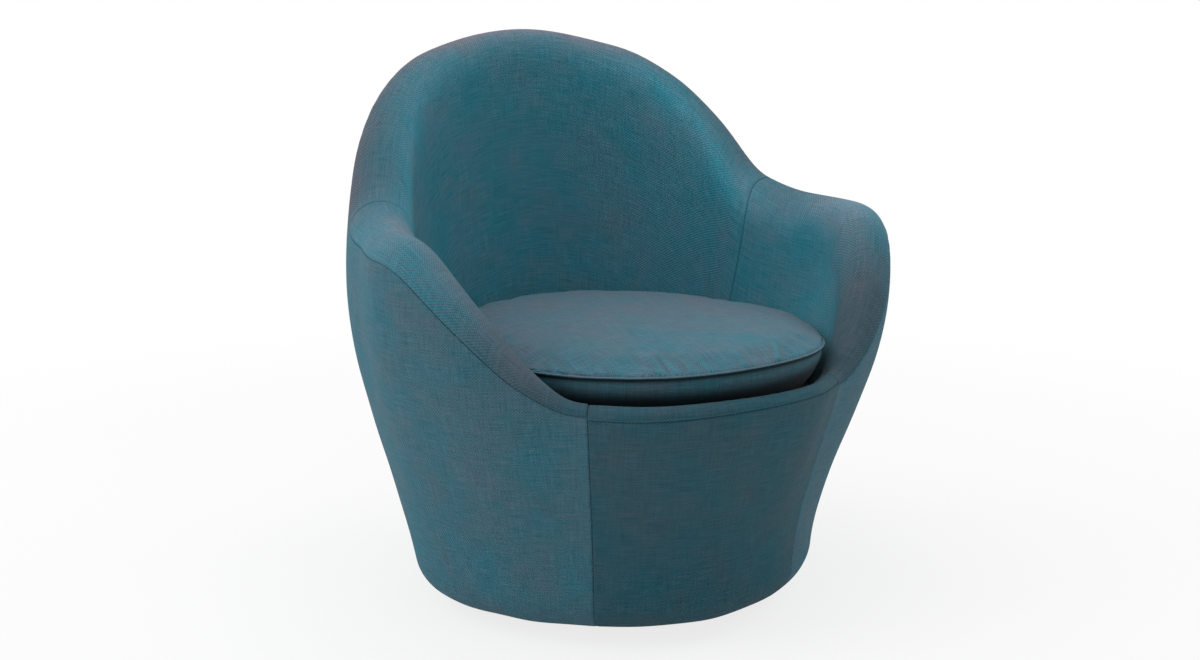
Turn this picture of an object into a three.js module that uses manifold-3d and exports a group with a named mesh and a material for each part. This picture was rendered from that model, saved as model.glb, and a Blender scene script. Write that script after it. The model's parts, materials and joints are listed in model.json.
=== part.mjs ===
// A low tub armchair that turns on a hidden swivel. All lengths are millimetres, +Z is up, the sitter
// faces -Y, and the origin is on the floor under the swivel's axis.
//
// The upholstered tub is one continuous section carried round the chair: a hem that turns under at the
// floor, an outer wall, a rolled rim and an inner wall down to the seat deck. The section changes with
// the angle round the tub, counted from the middle of the front. Each layer, the covers, the paddings
// and the frame inside them, is cut from that one section at its own depth below the outer surface.
import * as THREE from "three";
import { mergeVertices } from "three/addons/utils/BufferGeometryUtils.js";
import Module from "manifold-3d";

const wasm = await Module();
wasm.setup();

// Heights and reach of the tub
const backHeight = 800;
const armHeight = 556;
const railHeight = 353;
const rimReach = 364;
const rollRadius = 46;
const padLean = 61;
const padDepth = 50;
const wellDepth = 35;

// Plan of the tub where it meets the hem: how far it lies inside the rim's furthest reach
const sideFlare = 65;
const frontFlare = 81;
const backFlare = 54;
const baseRoundness = 1.81;
const hemRadius = 50;
const hemReturn = 30;
const floorGap = 20;

// Cloths, foams and clearances
const clothThick = 2;
const outerFoamThick = 7.7;
const foamSeamGap = 1.2;
const dustClothThick = 1.3;
const pieceGap = 0.3;
const saddleGap = 0.6;
const ribClear = 1.6;
const overrun = 1;

// Seams of the cover, in degrees from the middle of the front
const frontSeamDegrees = 34;
const armSeamDegrees = 108;
const backSeamDegrees = 124;
const slantDegrees = 5;
const slantReachDegrees = 16;
const halfCircle = 180;
const fullCircle = 360;

// Frame
const hoopRadius = 6;
const boardThick = 18;
const boardInset = 2;
const ribThick = 15;
const ribFoot = 88;
const ribLeg = 58;
const ledgeReach = 15;
const seatRingThick = 18;
const seatRingWidth = 66;
const ringPocket = 2;
const lighteningRadius = 38;
const lighteningPlace = 160;
const webWidth = 50;
const webThick = 1.5;
const webHold = 16;
const deckThick = 8;
const deckClear = 1.2;

// Loose seat cushion
const cushionSide = 56;
const cushionCrown = 30;
const cushionClear = 8;
const cushionOverhang = 34;
const cushionEdge = 12;
const cushionBelly = 3;
const crownFullness = 0.8;

// Swivel and what it stands on
const plateSize = 180;
const plateCorner = 22;
const plateThick = 3;
const raceInset = 20;
const raceWidth = 20;
const raceLand = 1.5;
const landGap = 1.4;
const ballRadius = 4;
const grooveClear = 0.9;
const cageWidth = 15;
const cageThick = 1.2;
const pinRadius = 6;
const pinClear = 0.6;
const pinHeadRadius = 10;
const pinHeadThick = 2.7;
const screwInset = 20;
const screwRadius = 2.5;
const screwHeadRadius = 5;
const screwHeadThick = 1.3;
const screwBite = 10;
const plinthRadius = 205;
const glideRadius = 19;
const glideThick = 5;
const glidePlace = 178;
const dustHoleClear = 12;
const turnClear = 1.5;
const bossClear = 5;

// How the section changes round the tub, from the middle of the front to the middle of the back
const stationDegrees = [0, 22, 36, 48, 60, 76, 95, 112, 124, 136, 152, 180];
const reachShares = [0.931, 0.926, 0.887, 0.918, 0.97, 1, 0.918, 0.912, 0.92, 0.923, 0.92, 0.901];
const armShares = [0.01, 0, 0, 0.22, 0.605, 0.985, 1, 1, 1, 1, 1, 1];
const backShares = [0, 0, 0, 0, 0, 0, 0.012, 0.107, 0.426, 0.689, 0.881, 1];
const rollShares = [0.37, 0.37, 0.39, 0.6, 0.78, 0.89, 0.935, 1, 0.915, 0.825, 0.78, 0.76];
const leanShares = [0.1, 0.12, 0.1, 0.44, 0.77, 1, 0.51, 0.44, 0.59, 0.72, 0.79, 0.7];
const padShares = [0.25, 0.25, 0.26, 0.5, 0.8, 0.84, 0.84, 0.86, 0.95, 1, 1, 1];
const overhangShares = [1, 0.82, 0.56, 0.79, 0.76, 0.5, 0.1, 0, 0, 0, 0, 0];
// Lean of the outer wall, as run over rise, just above the hem and just below the rim
const lowSlopes = [0, 0, 0.03, 0.05, 0.09, 0.15, 0.19, 0.21, 0.22, 0.25, 0.28, 0.3];
const topSlopes = [0.32, 0.3, 0.24, 0.15, 0.03, -0.08, -0.144, -0.17, -0.19, -0.22, -0.28, -0.34];

// Sections that the surfaces are drawn through, from the front to the back of one side
const frontDegrees = [0, 11, 22, frontSeamDegrees];
const armDegrees = [frontSeamDegrees, 41, 48, 55, 62, 70, 78, 88, 98, 103, armSeamDegrees];
const shoulderDegrees = [armSeamDegrees, 113, 118, backSeamDegrees];
const backDegrees = [backSeamDegrees, 132, 140, 153, 166, 180];
const ribDegrees = { front: 0, corner: frontSeamDegrees, arm: 62, shoulder: 98, wing: 140, back: 180 };

// Places along the section, as shares of each stretch
const hemShares = [0, 0.5, 1];
const wallShares = [0.17, 0.33, 0.5, 0.67, 0.83, 1];
const rollPlaceShares = [0, 0.2, 0.4, 0.6, 0.8, 1];
const innerShares = [0.33, 0.67, 1];

// Sizes that one piece hands to the next
const baseHalfWidth = rimReach - sideFlare;
const baseFront = rimReach - frontFlare;
const baseBack = rimReach - backFlare;
const outerDepth = clothThick + pieceGap + outerFoamThick;
const boardBottom = floorGap + outerDepth + pieceGap;
const boardTop = boardBottom + boardThick;
const deckHeight = railHeight - wellDepth;
const webTop = deckHeight - pieceGap;
const seatRingTop = webTop - 2 * webThick - 2 * pieceGap;
const seatRingBottom = seatRingTop - seatRingThick;
const upperPlateTop = boardBottom - pieceGap;
const ballHeight = upperPlateTop - plateThick - raceLand - landGap;
const lowerPlateTop = ballHeight - landGap - raceLand;
const lowerPlateBottom = lowerPlateTop - plateThick;
const dustTop = floorGap - pieceGap;
const dustBottom = dustTop - dustClothThick;
const plinthTop = dustBottom - turnClear;
const bossTop = lowerPlateBottom - pieceGap;
const raceRadius = plateSize / 2 - raceInset;
const screwPlace = plateSize / 2 - screwInset;
const dustHole = plateSize * Math.SQRT1_2 + dustHoleClear;
const cushionBottom = deckHeight + deckThick + pieceGap;
const cushionSeam = cushionBottom + cushionSide;

const roundSides = 36;
const raceSides = 28;
const grooveSides = 8;
const smallSides = 10;
const screwSides = 8;

// Finishes
const shotTwill = { color: "#2c6570", roughness: 0.85, metalness: 0 };
const cushionTwill = { color: "#4d6c7a", roughness: 0.85, metalness: 0 };
const foam = { color: "#d8cfa8", roughness: 0.95, metalness: 0 };
const birchPly = { color: "#c79f6a", roughness: 0.7, metalness: 0 };
const blackPaint = { color: "#1b1c1e", roughness: 0.6, metalness: 0 };
const zincSteel = { color: "#b9bcc0", roughness: 0.35, metalness: 1 };
const brightSteel = { color: "#cfd2d6", roughness: 0.2, metalness: 1 };
const blackCloth = { color: "#17181a", roughness: 0.95, metalness: 0 };
const webCloth = { color: "#8a8276", roughness: 0.9, metalness: 0 };
const feltPad = { color: "#3a3a3c", roughness: 0.95, metalness: 0 };

// How far round from the middle of the front an angle is, on either side
function angleFromFront(degrees) {
  return Math.abs(((degrees + halfCircle * 3) % fullCircle) - halfCircle);
}

// Reads a table of stations at any angle. The curve between stations never overshoots them, and it
// lies level where it crosses the middle of the front and of the back.
function fromStations(table, degrees) {
  const place = angleFromFront(degrees);
  const last = stationDegrees.length - 1;
  let i = 0;
  while (i < last - 1 && place > stationDegrees[i + 1]) i += 1;
  const rise = (k) => (table[k + 1] - table[k]) / (stationDegrees[k + 1] - stationDegrees[k]);
  const tangent = (k) => {
    if (k === 0 || k === last || rise(k - 1) * rise(k) <= 0) return 0;
    return (2 * rise(k - 1) * rise(k)) / (rise(k - 1) + rise(k));
  };
  const span = stationDegrees[i + 1] - stationDegrees[i];
  const share = (place - stationDegrees[i]) / span;
  return hermite(table[i], table[i + 1], tangent(i) * span, tangent(i + 1) * span, share);
}

function hermite(start, end, startRate, endRate, s) {
  const rest = 1 - s;
  return start * (1 + 2 * s) * rest * rest + end * s * s * (3 - 2 * s)
    + startRate * s * rest * rest - endRate * s * s * rest;
}

function hermiteRate(start, end, startRate, endRate, s) {
  return 6 * s * (1 - s) * (end - start) + startRate * (1 - s) * (1 - 3 * s)
    + endRate * s * (3 * s - 2);
}

// Radius of a rounded oval whose front, back and half width are given
function ovalRadius(degrees, halfWidth, front, back, roundness) {
  const turn = THREE.MathUtils.degToRad(degrees);
  const depth = Math.cos(turn) > 0 ? front : back;
  const across = Math.abs(Math.sin(turn)) / halfWidth;
  const along = Math.abs(Math.cos(turn)) / depth;
  return Math.pow(Math.pow(across, roundness) + Math.pow(along, roundness), -1 / roundness);
}

// Everything that the section needs at one angle
function sectionAt(degrees) {
  const roll = rollRadius * fromStations(rollShares, degrees);
  const reach = rimReach * fromStations(reachShares, degrees);
  const rim = railHeight + (armHeight - railHeight) * fromStations(armShares, degrees)
    + (backHeight - armHeight) * fromStations(backShares, degrees);
  const low = fromStations(lowSlopes, degrees);
  const top = fromStations(topSlopes, degrees);
  const rollStart = -Math.atan(top);
  const hemEnd = Math.PI / 2 - Math.atan(low);
  const base = ovalRadius(degrees, baseHalfWidth, baseFront, baseBack, baseRoundness);
  const hemCentre = { r: base - hemRadius, z: floorGap + hemRadius };
  const foot = arcPoint(hemCentre, hemRadius, hemEnd - Math.PI / 2);
  const rollCentre = { r: reach, z: rim - roll };
  const head = arcPoint(rollCentre, roll, rollStart);
  const lean = padLean * fromStations(leanShares, degrees);
  const pad = padDepth * fromStations(padShares, degrees);
  return { roll, reach, rim, low, top, rollStart, hemEnd, hemCentre, foot, rollCentre, head, lean, pad };
}

// A point on an arc, its angle counted up from the outward level
function arcPoint(centre, radius, angle) {
  return { r: centre.r + radius * Math.cos(angle), z: centre.z + radius * Math.sin(angle) };
}

function returnPoint(section, share, depth) {
  return { r: section.hemCentre.r - hemReturn * (1 - share), z: floorGap + depth };
}

function hemPoint(section, share, depth) {
  return arcPoint(section.hemCentre, hemRadius - depth, section.hemEnd * share - Math.PI / 2);
}

function wallPoint(section, share, depth) {
  const { foot, head, low, top } = section;
  const rise = head.z - foot.z;
  const r = hermite(foot.r, head.r, low * rise, top * rise, share);
  const slope = hermiteRate(foot.r, head.r, low * rise, top * rise, share) / rise;
  const shrink = depth / Math.hypot(1, slope);
  return { r: r - shrink, z: foot.z + share * rise + shrink * slope };
}

function rollPoint(section, share, depth) {
  const angle = section.rollStart + share * (Math.PI - section.rollStart);
  return arcPoint(section.rollCentre, section.roll - depth, angle);
}

// The inner wall leaves the roll upright and leans in more and more towards the deck
function innerPoint(section, share, depth) {
  const top = section.rollCentre.z;
  const drop = top - deckHeight;
  const slope = (section.lean * (3 * share - 1.5 * share * share)) / drop;
  const r = section.reach - section.roll - section.lean * share * share * (1.5 - 0.5 * share);
  return { r: r + depth * Math.hypot(1, slope), z: top - share * drop };
}

// Depth of the inner padding's back: it clears the hoop at the rim and thickens down to the deck
function padBack(section, share) {
  const atRoll = section.roll - hoopRadius - saddleGap;
  const belowHoop = (hoopRadius + saddleGap) / (section.rollCentre.z - deckHeight);
  const growth = Math.max(share - belowHoop, 0) / Math.max(1 - belowHoop, 0.5);
  return atRoll + (section.pad - atRoll) * growth;
}

// Radius of a run of points at a height, read along the straight lines between them
function radiusAlong(points, z) {
  const order = [...points].sort((a, b) => a.z - b.z);
  let k = 1;
  while (k < order.length - 1 && z > order[k].z) k += 1;
  const [low, high] = [order[k - 1], order[k]];
  return low.r + ((high.r - low.r) * (z - low.z)) / (high.z - low.z);
}

// Points down the back of the inner padding, below the hoop
function padBackPoints(section) {
  return [0, ...innerShares].map((share) => innerPoint(section, share, padBack(section, share)));
}

function padBackRadius(section, z) {
  return radiusAlong(padBackPoints(section), z);
}

function wellRadius(degrees) {
  const section = sectionAt(degrees);
  return section.reach - section.roll - section.lean;
}

// Points up the inside of the outer wall, at a depth below the cover
function wallPoints(section, depth) {
  const hem = hemShares.map((share) => hemPoint(section, share, depth));
  return [...hem, ...wallShares.map((share) => wallPoint(section, share, depth))];
}

function polar(radius, degrees, z) {
  const turn = THREE.MathUtils.degToRad(degrees);
  return new THREE.Vector3(radius * Math.sin(turn), -radius * Math.cos(turn), z);
}

// Meshes from points
function geometryFrom(points, triangles) {
  const kept = triangles.filter(([a, b, c]) => a !== b && b !== c && c !== a);
  const geometry = new THREE.BufferGeometry();
  const places = points.flatMap((p) => p.toArray());
  geometry.setAttribute("position", new THREE.Float32BufferAttribute(places, 3));
  geometry.setIndex(kept.flat());
  const welded = mergeVertices(geometry, pieceGap * 0.01);
  const index = welded.getIndex().array;
  const sound = [];
  for (let i = 0; i < index.length; i += 3) {
    const [a, b, c] = [index[i], index[i + 1], index[i + 2]];
    if (a !== b && b !== c && c !== a) sound.push(a, b, c);
  }
  welded.setIndex(sound);
  return facingOut(welded);
}

function facingOut(geometry) {
  const position = geometry.getAttribute("position");
  const index = geometry.getIndex().array;
  const at = (k) => new THREE.Vector3().fromBufferAttribute(position, index[k]);
  let volume = 0;
  for (let i = 0; i < index.length; i += 3) {
    volume += at(i).dot(at(i + 1).cross(at(i + 2)));
  }
  if (volume < 0) {
    const turned = Array.from(index);
    for (let i = 0; i < turned.length; i += 3) {
      [turned[i + 1], turned[i + 2]] = [turned[i + 2], turned[i + 1]];
    }
    geometry.setIndex(turned);
  }
  geometry.computeVertexNormals();
  return geometry;
}

// A wall between two grids of points that match row for row. Both faces are split along the same
// diagonals, so that layers drawn on the same sections keep their gap.
function wallBetween(outer, inner, closed) {
  const rows = outer.length;
  const columns = outer[0].length;
  const points = [...outer.flat(), ...inner.flat()];
  const front = (i, j) => (i % rows) * columns + j;
  const back = (i, j) => rows * columns + front(i, j);
  const triangles = [];
  const quad = (a, b, c, d) => triangles.push([a, b, c], [a, c, d]);
  const spans = closed ? rows : rows - 1;
  for (let i = 0; i < spans; i += 1) {
    for (let j = 0; j < columns - 1; j += 1) {
      quad(front(i, j), front(i + 1, j), front(i + 1, j + 1), front(i, j + 1));
      triangles.push([back(i, j), back(i + 1, j + 1), back(i + 1, j)]);
      triangles.push([back(i, j), back(i, j + 1), back(i + 1, j + 1)]);
    }
    triangles.push([front(i, 0), back(i + 1, 0), front(i + 1, 0)]);
    triangles.push([front(i, 0), back(i, 0), back(i + 1, 0)]);
    const end = columns - 1;
    quad(front(i, end), front(i + 1, end), back(i + 1, end), back(i, end));
  }
  if (!closed) {
    const k = rows - 1;
    for (let j = 0; j < columns - 1; j += 1) {
      quad(front(0, j), front(0, j + 1), back(0, j + 1), back(0, j));
      triangles.push([front(k, j), back(k, j + 1), front(k, j + 1)]);
      triangles.push([front(k, j), back(k, j), back(k, j + 1)]);
    }
  }
  return geometryFrom(points, triangles);
}

// A closed skin through a round of profiles. Each profile either closes on itself, or starts and ends
// on the axis.
function skinFrom(rings, ringClosed) {
  const rows = rings.length;
  const columns = rings[0].length;
  const at = (i, j) => (i % rows) * columns + (j % columns);
  const triangles = [];
  const spans = ringClosed ? columns : columns - 1;
  for (let i = 0; i < rows; i += 1) {
    for (let j = 0; j < spans; j += 1) {
      triangles.push([at(i, j), at(i + 1, j), at(i + 1, j + 1)]);
      triangles.push([at(i, j), at(i + 1, j + 1), at(i, j + 1)]);
    }
  }
  return geometryFrom(rings.flat(), triangles);
}

function solidOf(geometry) {
  const bare = geometry.clone();
  bare.deleteAttribute("normal");
  bare.deleteAttribute("uv");
  const merged = mergeVertices(bare);
  const mesh = new wasm.Mesh({
    numProp: 3,
    vertProperties: Float32Array.from(merged.getAttribute("position").array),
    triVerts: Uint32Array.from(merged.getIndex().array),
  });
  return new wasm.Manifold(mesh);
}

function geometryOf(solid) {
  const mesh = solid.getMesh();
  const geometry = new THREE.BufferGeometry();
  geometry.setAttribute("position", new THREE.Float32BufferAttribute(mesh.vertProperties, 3));
  geometry.setIndex(Array.from(mesh.triVerts));
  geometry.computeVertexNormals();
  return geometry;
}

// A plate of any outline, with round holes, between two heights
function plateBetween(outline, holes, bottom, top) {
  const shape = new THREE.Shape(outline);
  for (const hole of holes) {
    const path = new THREE.Path();
    path.absarc(hole.x, hole.y, hole.radius, 0, Math.PI * 2, true);
    shape.holes.push(path);
  }
  const settings = { depth: top - bottom, bevelEnabled: false, curveSegments: smallSides / 2 };
  return new THREE.ExtrudeGeometry(shape, settings).translate(0, 0, bottom);
}

function ovalOutline(radiusAt) {
  return wholeTurn().map((degrees) => {
    const p = polar(radiusAt(degrees), degrees, 0);
    return new THREE.Vector2(p.x, p.y);
  });
}

function roundOutline(radius, sides) {
  return Array.from({ length: sides }, (_, k) => {
    const turn = (Math.PI * 2 * k) / sides;
    return new THREE.Vector2(radius * Math.cos(turn), radius * Math.sin(turn));
  });
}

function turned(profile, sides) {
  const points = profile.map(([r, z]) => new THREE.Vector2(r, z));
  return new THREE.LatheGeometry(points, sides).rotateX(Math.PI / 2);
}

// Angles of the sections
function wholeTurn() {
  const behindFront = [armDegrees, shoulderDegrees, backDegrees].flatMap((list) => list.slice(1));
  const half = [...frontDegrees, ...behindFront];
  const other = half.slice(1, -1).reverse().map((degrees) => fullCircle - degrees);
  return [...half, ...other];
}

// One side's list turned to the left side, or a list carried across the middle line
const mirrored = (list) => list.map((degrees) => fullCircle - degrees).reverse();
const acrossFront = (list) => [...list.slice(1).map((degrees) => -degrees).reverse(), ...list];
const acrossBack = (list) => [...list, ...mirrored(list).slice(1)];

// Draws both ends of a list in by half a seam's gap, as an angle at the rim
function insideSeams(list, seamGap) {
  const halfAngle = THREE.MathUtils.radToDeg(seamGap / 2 / (rimReach - rollRadius));
  const trimmed = [...list];
  trimmed[0] += halfAngle;
  trimmed[trimmed.length - 1] -= halfAngle;
  return trimmed;
}

// Outer panels run from the hem's return to the seam under the rim
function outerRow(degrees, depth, seamGap) {
  const section = sectionAt(degrees);
  const seamShare = 1 - seamGap / 2 / (section.head.z - section.foot.z);
  const points = [
    returnPoint(section, 0, depth),
    ...hemShares.map((share) => hemPoint(section, share, depth)),
    ...wallShares.map((share) => wallPoint(section, Math.min(share, seamShare), depth)),
  ];
  return points.map((p) => polar(p.r, degrees, p.z));
}

// The seam from the arm to the back runs further back as it goes down inside
function slanted(degrees, share) {
  const fromSeam = Math.abs(angleFromFront(degrees) - armSeamDegrees);
  const near = Math.max(0, 1 - fromSeam / slantReachDegrees);
  const side = (degrees + fullCircle) % fullCircle > halfCircle ? -1 : 1;
  return degrees + side * slantDegrees * near * share;
}

// Inner panels run from that seam over the rolled rim and down to the deck
function innerRow(degrees, depthAt, seamGap) {
  const section = sectionAt(degrees);
  const seamShare = seamGap / 2 / (section.roll * (Math.PI - section.rollStart));
  const over = rollPlaceShares.map((share) => {
    const p = rollPoint(section, Math.max(share, seamShare), depthAt(section, 0));
    return polar(p.r, degrees, p.z);
  });
  const down = innerShares.map((share) => {
    const place = slanted(degrees, share);
    const there = sectionAt(place);
    const p = innerPoint(there, share, depthAt(there, share));
    return polar(p.r, place, p.z + pieceGap * (share === 1 ? 1 : 0));
  });
  return [...over, ...down];
}

function outerPanel(list, from, to, seamGap) {
  const angles = insideSeams(list, seamGap);
  const grid = (depth) => angles.map((degrees) => outerRow(degrees, depth, seamGap));
  return wallBetween(grid(from), grid(to), false);
}

function innerPanel(list, from, to, seamGap) {
  const angles = insideSeams(list, seamGap);
  const grid = (depthAt) => angles.map((degrees) => innerRow(degrees, depthAt, seamGap));
  return wallBetween(grid(from), grid(to), false);
}

// Furthest reach of the tub at the front and at the back, which sets the tub over the swivel
function reachAt(degrees) {
  const rows = [...outerRow(degrees, 0, pieceGap), ...innerRow(degrees, () => 0, pieceGap)];
  return Math.max(...rows.map((p) => Math.hypot(p.x, p.y)));
}
const tubShift = (reachAt(halfCircle) - reachAt(0)) / 2;

const chair = new THREE.Group();
const standing = new THREE.Group();
const turning = new THREE.Group();
const tub = new THREE.Group();
tub.position.set(0, -tubShift, 0);
turning.add(tub);
chair.add(standing, turning);

function addPiece(group, name, geometry, finish) {
  const mesh = new THREE.Mesh(geometry, new THREE.MeshStandardMaterial(finish));
  mesh.name = name;
  group.add(mesh);
  return mesh;
}

// Covers and the paddings under them
function addUpholstery() {
  const sides = {
    left: { outer: mirrored([...armDegrees, ...shoulderDegrees.slice(1)]), arm: mirrored(armDegrees) },
    right: { outer: [...armDegrees, ...shoulderDegrees.slice(1)], arm: armDegrees },
  };
  const front = acrossFront(frontDegrees);
  const back = acrossBack(backDegrees);
  const innerBack = acrossBack([...shoulderDegrees, ...backDegrees.slice(1)]);
  const outerPanels = { front, left_side: sides.left.outer, right_side: sides.right.outer, back };
  const innerPanels = { front_rail: front, left_arm: sides.left.arm, right_arm: sides.right.arm };
  innerPanels.inside_back = innerBack;
  const foamFace = clothThick + pieceGap;
  for (const [place, list] of Object.entries(outerPanels)) {
    addPiece(tub, `${place}_cover`, outerPanel(list, 0, clothThick, pieceGap), shotTwill);
    addPiece(tub, `${place}_padding`, outerPanel(list, foamFace, outerDepth, foamSeamGap), foam);
  }
  for (const [place, list] of Object.entries(innerPanels)) {
    addPiece(tub, `${place}_cover`, innerPanel(list, () => 0, () => clothThick, pieceGap), shotTwill);
    addPiece(tub, `${place}_foam`, innerPanel(list, () => foamFace, padBack, foamSeamGap), foam);
  }
}

// The steel hoop runs inside the rolled rim, all the way round
function addHoop() {
  const sides = 8;
  const rings = wholeTurn().map((degrees) => {
    const { rollCentre } = sectionAt(degrees);
    return Array.from({ length: sides }, (_, k) => {
      const p = arcPoint(rollCentre, hoopRadius, (Math.PI * 2 * k) / sides);
      return polar(p.r, degrees, p.z);
    });
  });
  addPiece(tub, "rim_hoop", skinFrom(rings, true), zincSteel);
}

// The seat ring ends a little inside the padding's back
function seatRingEdge(section) {
  return padBackRadius(section, deckHeight) - ringPocket;
}

function seatRingOuter(degrees) {
  return seatRingEdge(sectionAt(degrees));
}

// One upright rib, a flat plywood plate that stands across the section: its outer edge follows the wall,
// its inner edge carries the seat ring on a ledge and then follows the padding's back up to the hoop.
// Each edge clears the section at both faces of the plate.
function addRib(name, degrees) {
  const halfAngle = THREE.MathUtils.radToDeg(ribThick / 2 / wellRadius(degrees));
  const sections = [-1, 0, 1].map((side) => sectionAt(degrees + side * halfAngle));
  const outerAt = (z) => Math.min(...sections.map((section) => (
    radiusAlong(wallPoints(section, outerDepth), z) - ribClear
  )));
  const padAt = (z) => Math.max(...sections.map((section) => padBackRadius(section, z) + ribClear));
  const top = Math.min(...sections.map((section) => section.rollCentre.z)) - hoopRadius - ribClear;
  const foot = boardTop + pieceGap;
  const ledge = seatRingBottom - pieceGap;
  const ring = Math.max(...sections.map(seatRingEdge)) + pieceGap;
  const heightsOf = (points, from) => points.map((p) => p.z).filter((z) => z > from && z < top);
  const wallHeights = heightsOf(wallPoints(sections[1], outerDepth), foot);
  const padHeights = heightsOf(padBackPoints(sections[1]), deckHeight);
  const knee = foot + (ledge - foot) / 2;
  const profile = [
    [outerAt(foot) - ribFoot, foot],
    ...[foot, ...wallHeights, top].map((z) => [outerAt(z), z]),
    ...[top, ...padHeights, deckHeight].map((z) => [padAt(z), z]),
    [ring, deckHeight], [ring, ledge],
    [ring - ledgeReach, ledge], [ring - ledgeReach, ledge - ledgeReach],
    [outerAt(knee) - ribLeg, knee],
  ];
  const shape = new THREE.Shape(profile.map(([r, z]) => new THREE.Vector2(r, z)));
  const plate = new THREE.ExtrudeGeometry(shape, { depth: ribThick, bevelEnabled: false });
  const outward = polar(1, degrees, 0);
  const upward = new THREE.Vector3(0, 0, 1);
  const sideways = outward.clone().cross(upward);
  const mesh = addPiece(tub, name, plate.translate(0, 0, -ribThick / 2), birchPly);
  mesh.quaternion.setFromRotationMatrix(new THREE.Matrix4().makeBasis(outward, upward, sideways));
}

// Baseboard, ribs, hoop and seat ring
function addFrame() {
  const inset = hemRadius + boardInset;
  const baseAt = (d) => ovalRadius(d, baseHalfWidth, baseFront, baseBack, baseRoundness);
  const corners = [[-1, -1], [1, -1], [1, 1], [-1, 1]];
  const screwHoles = corners.map(([x, y]) => (
    { x: x * screwPlace, y: y * screwPlace + tubShift, radius: screwRadius + pieceGap }
  ));
  const lightening = lighteningPlace * Math.SQRT1_2;
  const pinHole = { x: 0, y: tubShift, radius: pinHeadRadius + overrun };
  const holes = [...screwHoles, pinHole];
  const board = plateBetween(ovalOutline((d) => baseAt(d) - inset), holes, boardBottom, boardTop);
  let solid = solidOf(board);
  const round = roundOutline(lighteningRadius, smallSides * 2);
  for (const [x, y] of corners) {
    const drill = plateBetween(round, [], boardBottom - overrun, boardTop + overrun);
    solid = solid.subtract(solidOf(drill.translate(x * lightening, y * lightening + tubShift, 0)));
  }
  addPiece(tub, "base_board", geometryOf(solid), birchPly);
  for (const [place, degrees] of Object.entries(ribDegrees)) {
    if (degrees % halfCircle === 0) addRib(`${place}_rib`, degrees);
    else {
      addRib(`${place}_rib_right`, degrees);
      addRib(`${place}_rib_left`, fullCircle - degrees);
    }
  }
  addHoop();
  const ringRow = (degrees, radius) => [seatRingBottom, seatRingTop].map((z) => polar(radius, degrees, z));
  const outer = wholeTurn().map((d) => ringRow(d, seatRingOuter(d)));
  const inner = wholeTurn().map((d) => ringRow(d, seatRingOuter(d) - seatRingWidth));
  addPiece(tub, "seat_ring", wallBetween(outer, inner, true), birchPly);
}

// Where a strap that runs at an offset from the middle line reaches the middle of the seat ring
function strapEnd(offset, along, direction) {
  const samples = Array.from({ length: fullCircle + 1 }, (_, degrees) => (
    polar(seatRingOuter(degrees) - webHold, degrees, 0)
  ));
  let best = 0;
  for (let k = 0; k < fullCircle; k += 1) {
    const [a, b] = [samples[k], samples[k + 1]];
    const [p, q] = along ? [a.x - offset, b.x - offset] : [a.y - offset, b.y - offset];
    if (p * q <= 0 && p !== q) {
      const hit = a.clone().lerp(b, p / (p - q));
      const reach = direction * (along ? hit.y : hit.x);
      best = Math.max(best, reach);
    }
  }
  return best;
}

// Six straps across the seat ring, the lengthwise ones over the others
function addWebbing() {
  const placeShares = [-0.5, 0, 0.5];
  const names = ["first", "middle", "last"];
  const spread = wellRadius(90);
  placeShares.forEach((share, k) => {
    const offset = share * spread;
    for (const along of [false, true]) {
      const edges = [offset - webWidth / 2, offset + webWidth / 2];
      const far = Math.min(...edges.map((edge) => strapEnd(edge, along, 1)));
      const near = Math.min(...edges.map((edge) => strapEnd(edge, along, -1)));
      const middle = (far - near) / 2;
      const bottom = seatRingTop + pieceGap + (along ? webThick + pieceGap : 0);
      const size = along ? [webWidth, far + near] : [far + near, webWidth];
      const strap = new THREE.BoxGeometry(size[0], size[1], webThick);
      const centre = along ? [offset, middle] : [middle, offset];
      const name = `${along ? "lengthwise" : "crosswise"}_web_${names[k]}`;
      const mesh = addPiece(tub, name, strap, webCloth);
      mesh.position.set(centre[0], centre[1], bottom + webThick / 2);
    }
  });
}

// The thin pad that the cushion lies on, and the cloth that closes the tub from below
function addSheets() {
  const deck = ovalOutline((d) => wellRadius(d) - deckClear);
  addPiece(tub, "seat_deck_pad", plateBetween(deck, [], deckHeight, deckHeight + deckThick), blackCloth);
  const baseAt = (d) => ovalRadius(d, baseHalfWidth, baseFront, baseBack, baseRoundness);
  const outer = ovalOutline((d) => baseAt(d) - hemRadius - hemReturn / 3);
  const sheet = solidOf(plateBetween(outer, [], dustBottom, dustTop));
  const round = roundOutline(dustHole, roundSides);
  const mouth = plateBetween(round, [], dustBottom - overrun, dustTop + overrun);
  const cut = sheet.subtract(solidOf(mouth.translate(0, tubShift, 0)));
  addPiece(tub, "dust_cover", geometryOf(cut), blackCloth);
}

// Outline of the cushion at one angle: flat underneath, a turned edge, a side that swings out over
// the front rail, and a crown that leaves the seam upright. The place runs from 0 to 4 along them.
function cushionOutline(degrees, place) {
  const foot = wellRadius(degrees) - cushionClear;
  const seam = foot + cushionOverhang * fromStations(overhangShares, degrees);
  const turnRadius = cushionEdge;
  if (place <= 1) return { r: (foot - turnRadius) * place, z: cushionBottom };
  if (place <= 2) {
    const centre = { r: foot - turnRadius, z: cushionBottom + turnRadius };
    return arcPoint(centre, turnRadius, (Math.PI / 2) * (place - 2));
  }
  if (place <= 3) {
    const share = place - 2;
    const rise = cushionSide - turnRadius;
    const swing = share * share * (3 - 2 * share) * 0.5 + share * 0.5;
    const belly = cushionBelly * Math.sin(Math.PI * share);
    return { r: foot + (seam - foot) * swing + belly, z: cushionBottom + turnRadius + rise * share };
  }
  const angle = (Math.PI / 2) * (place - 3);
  const r = seam * Math.pow(Math.max(Math.cos(angle), 0), crownFullness);
  return { r, z: cushionSeam + cushionCrown * Math.sin(angle) };
}

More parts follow.
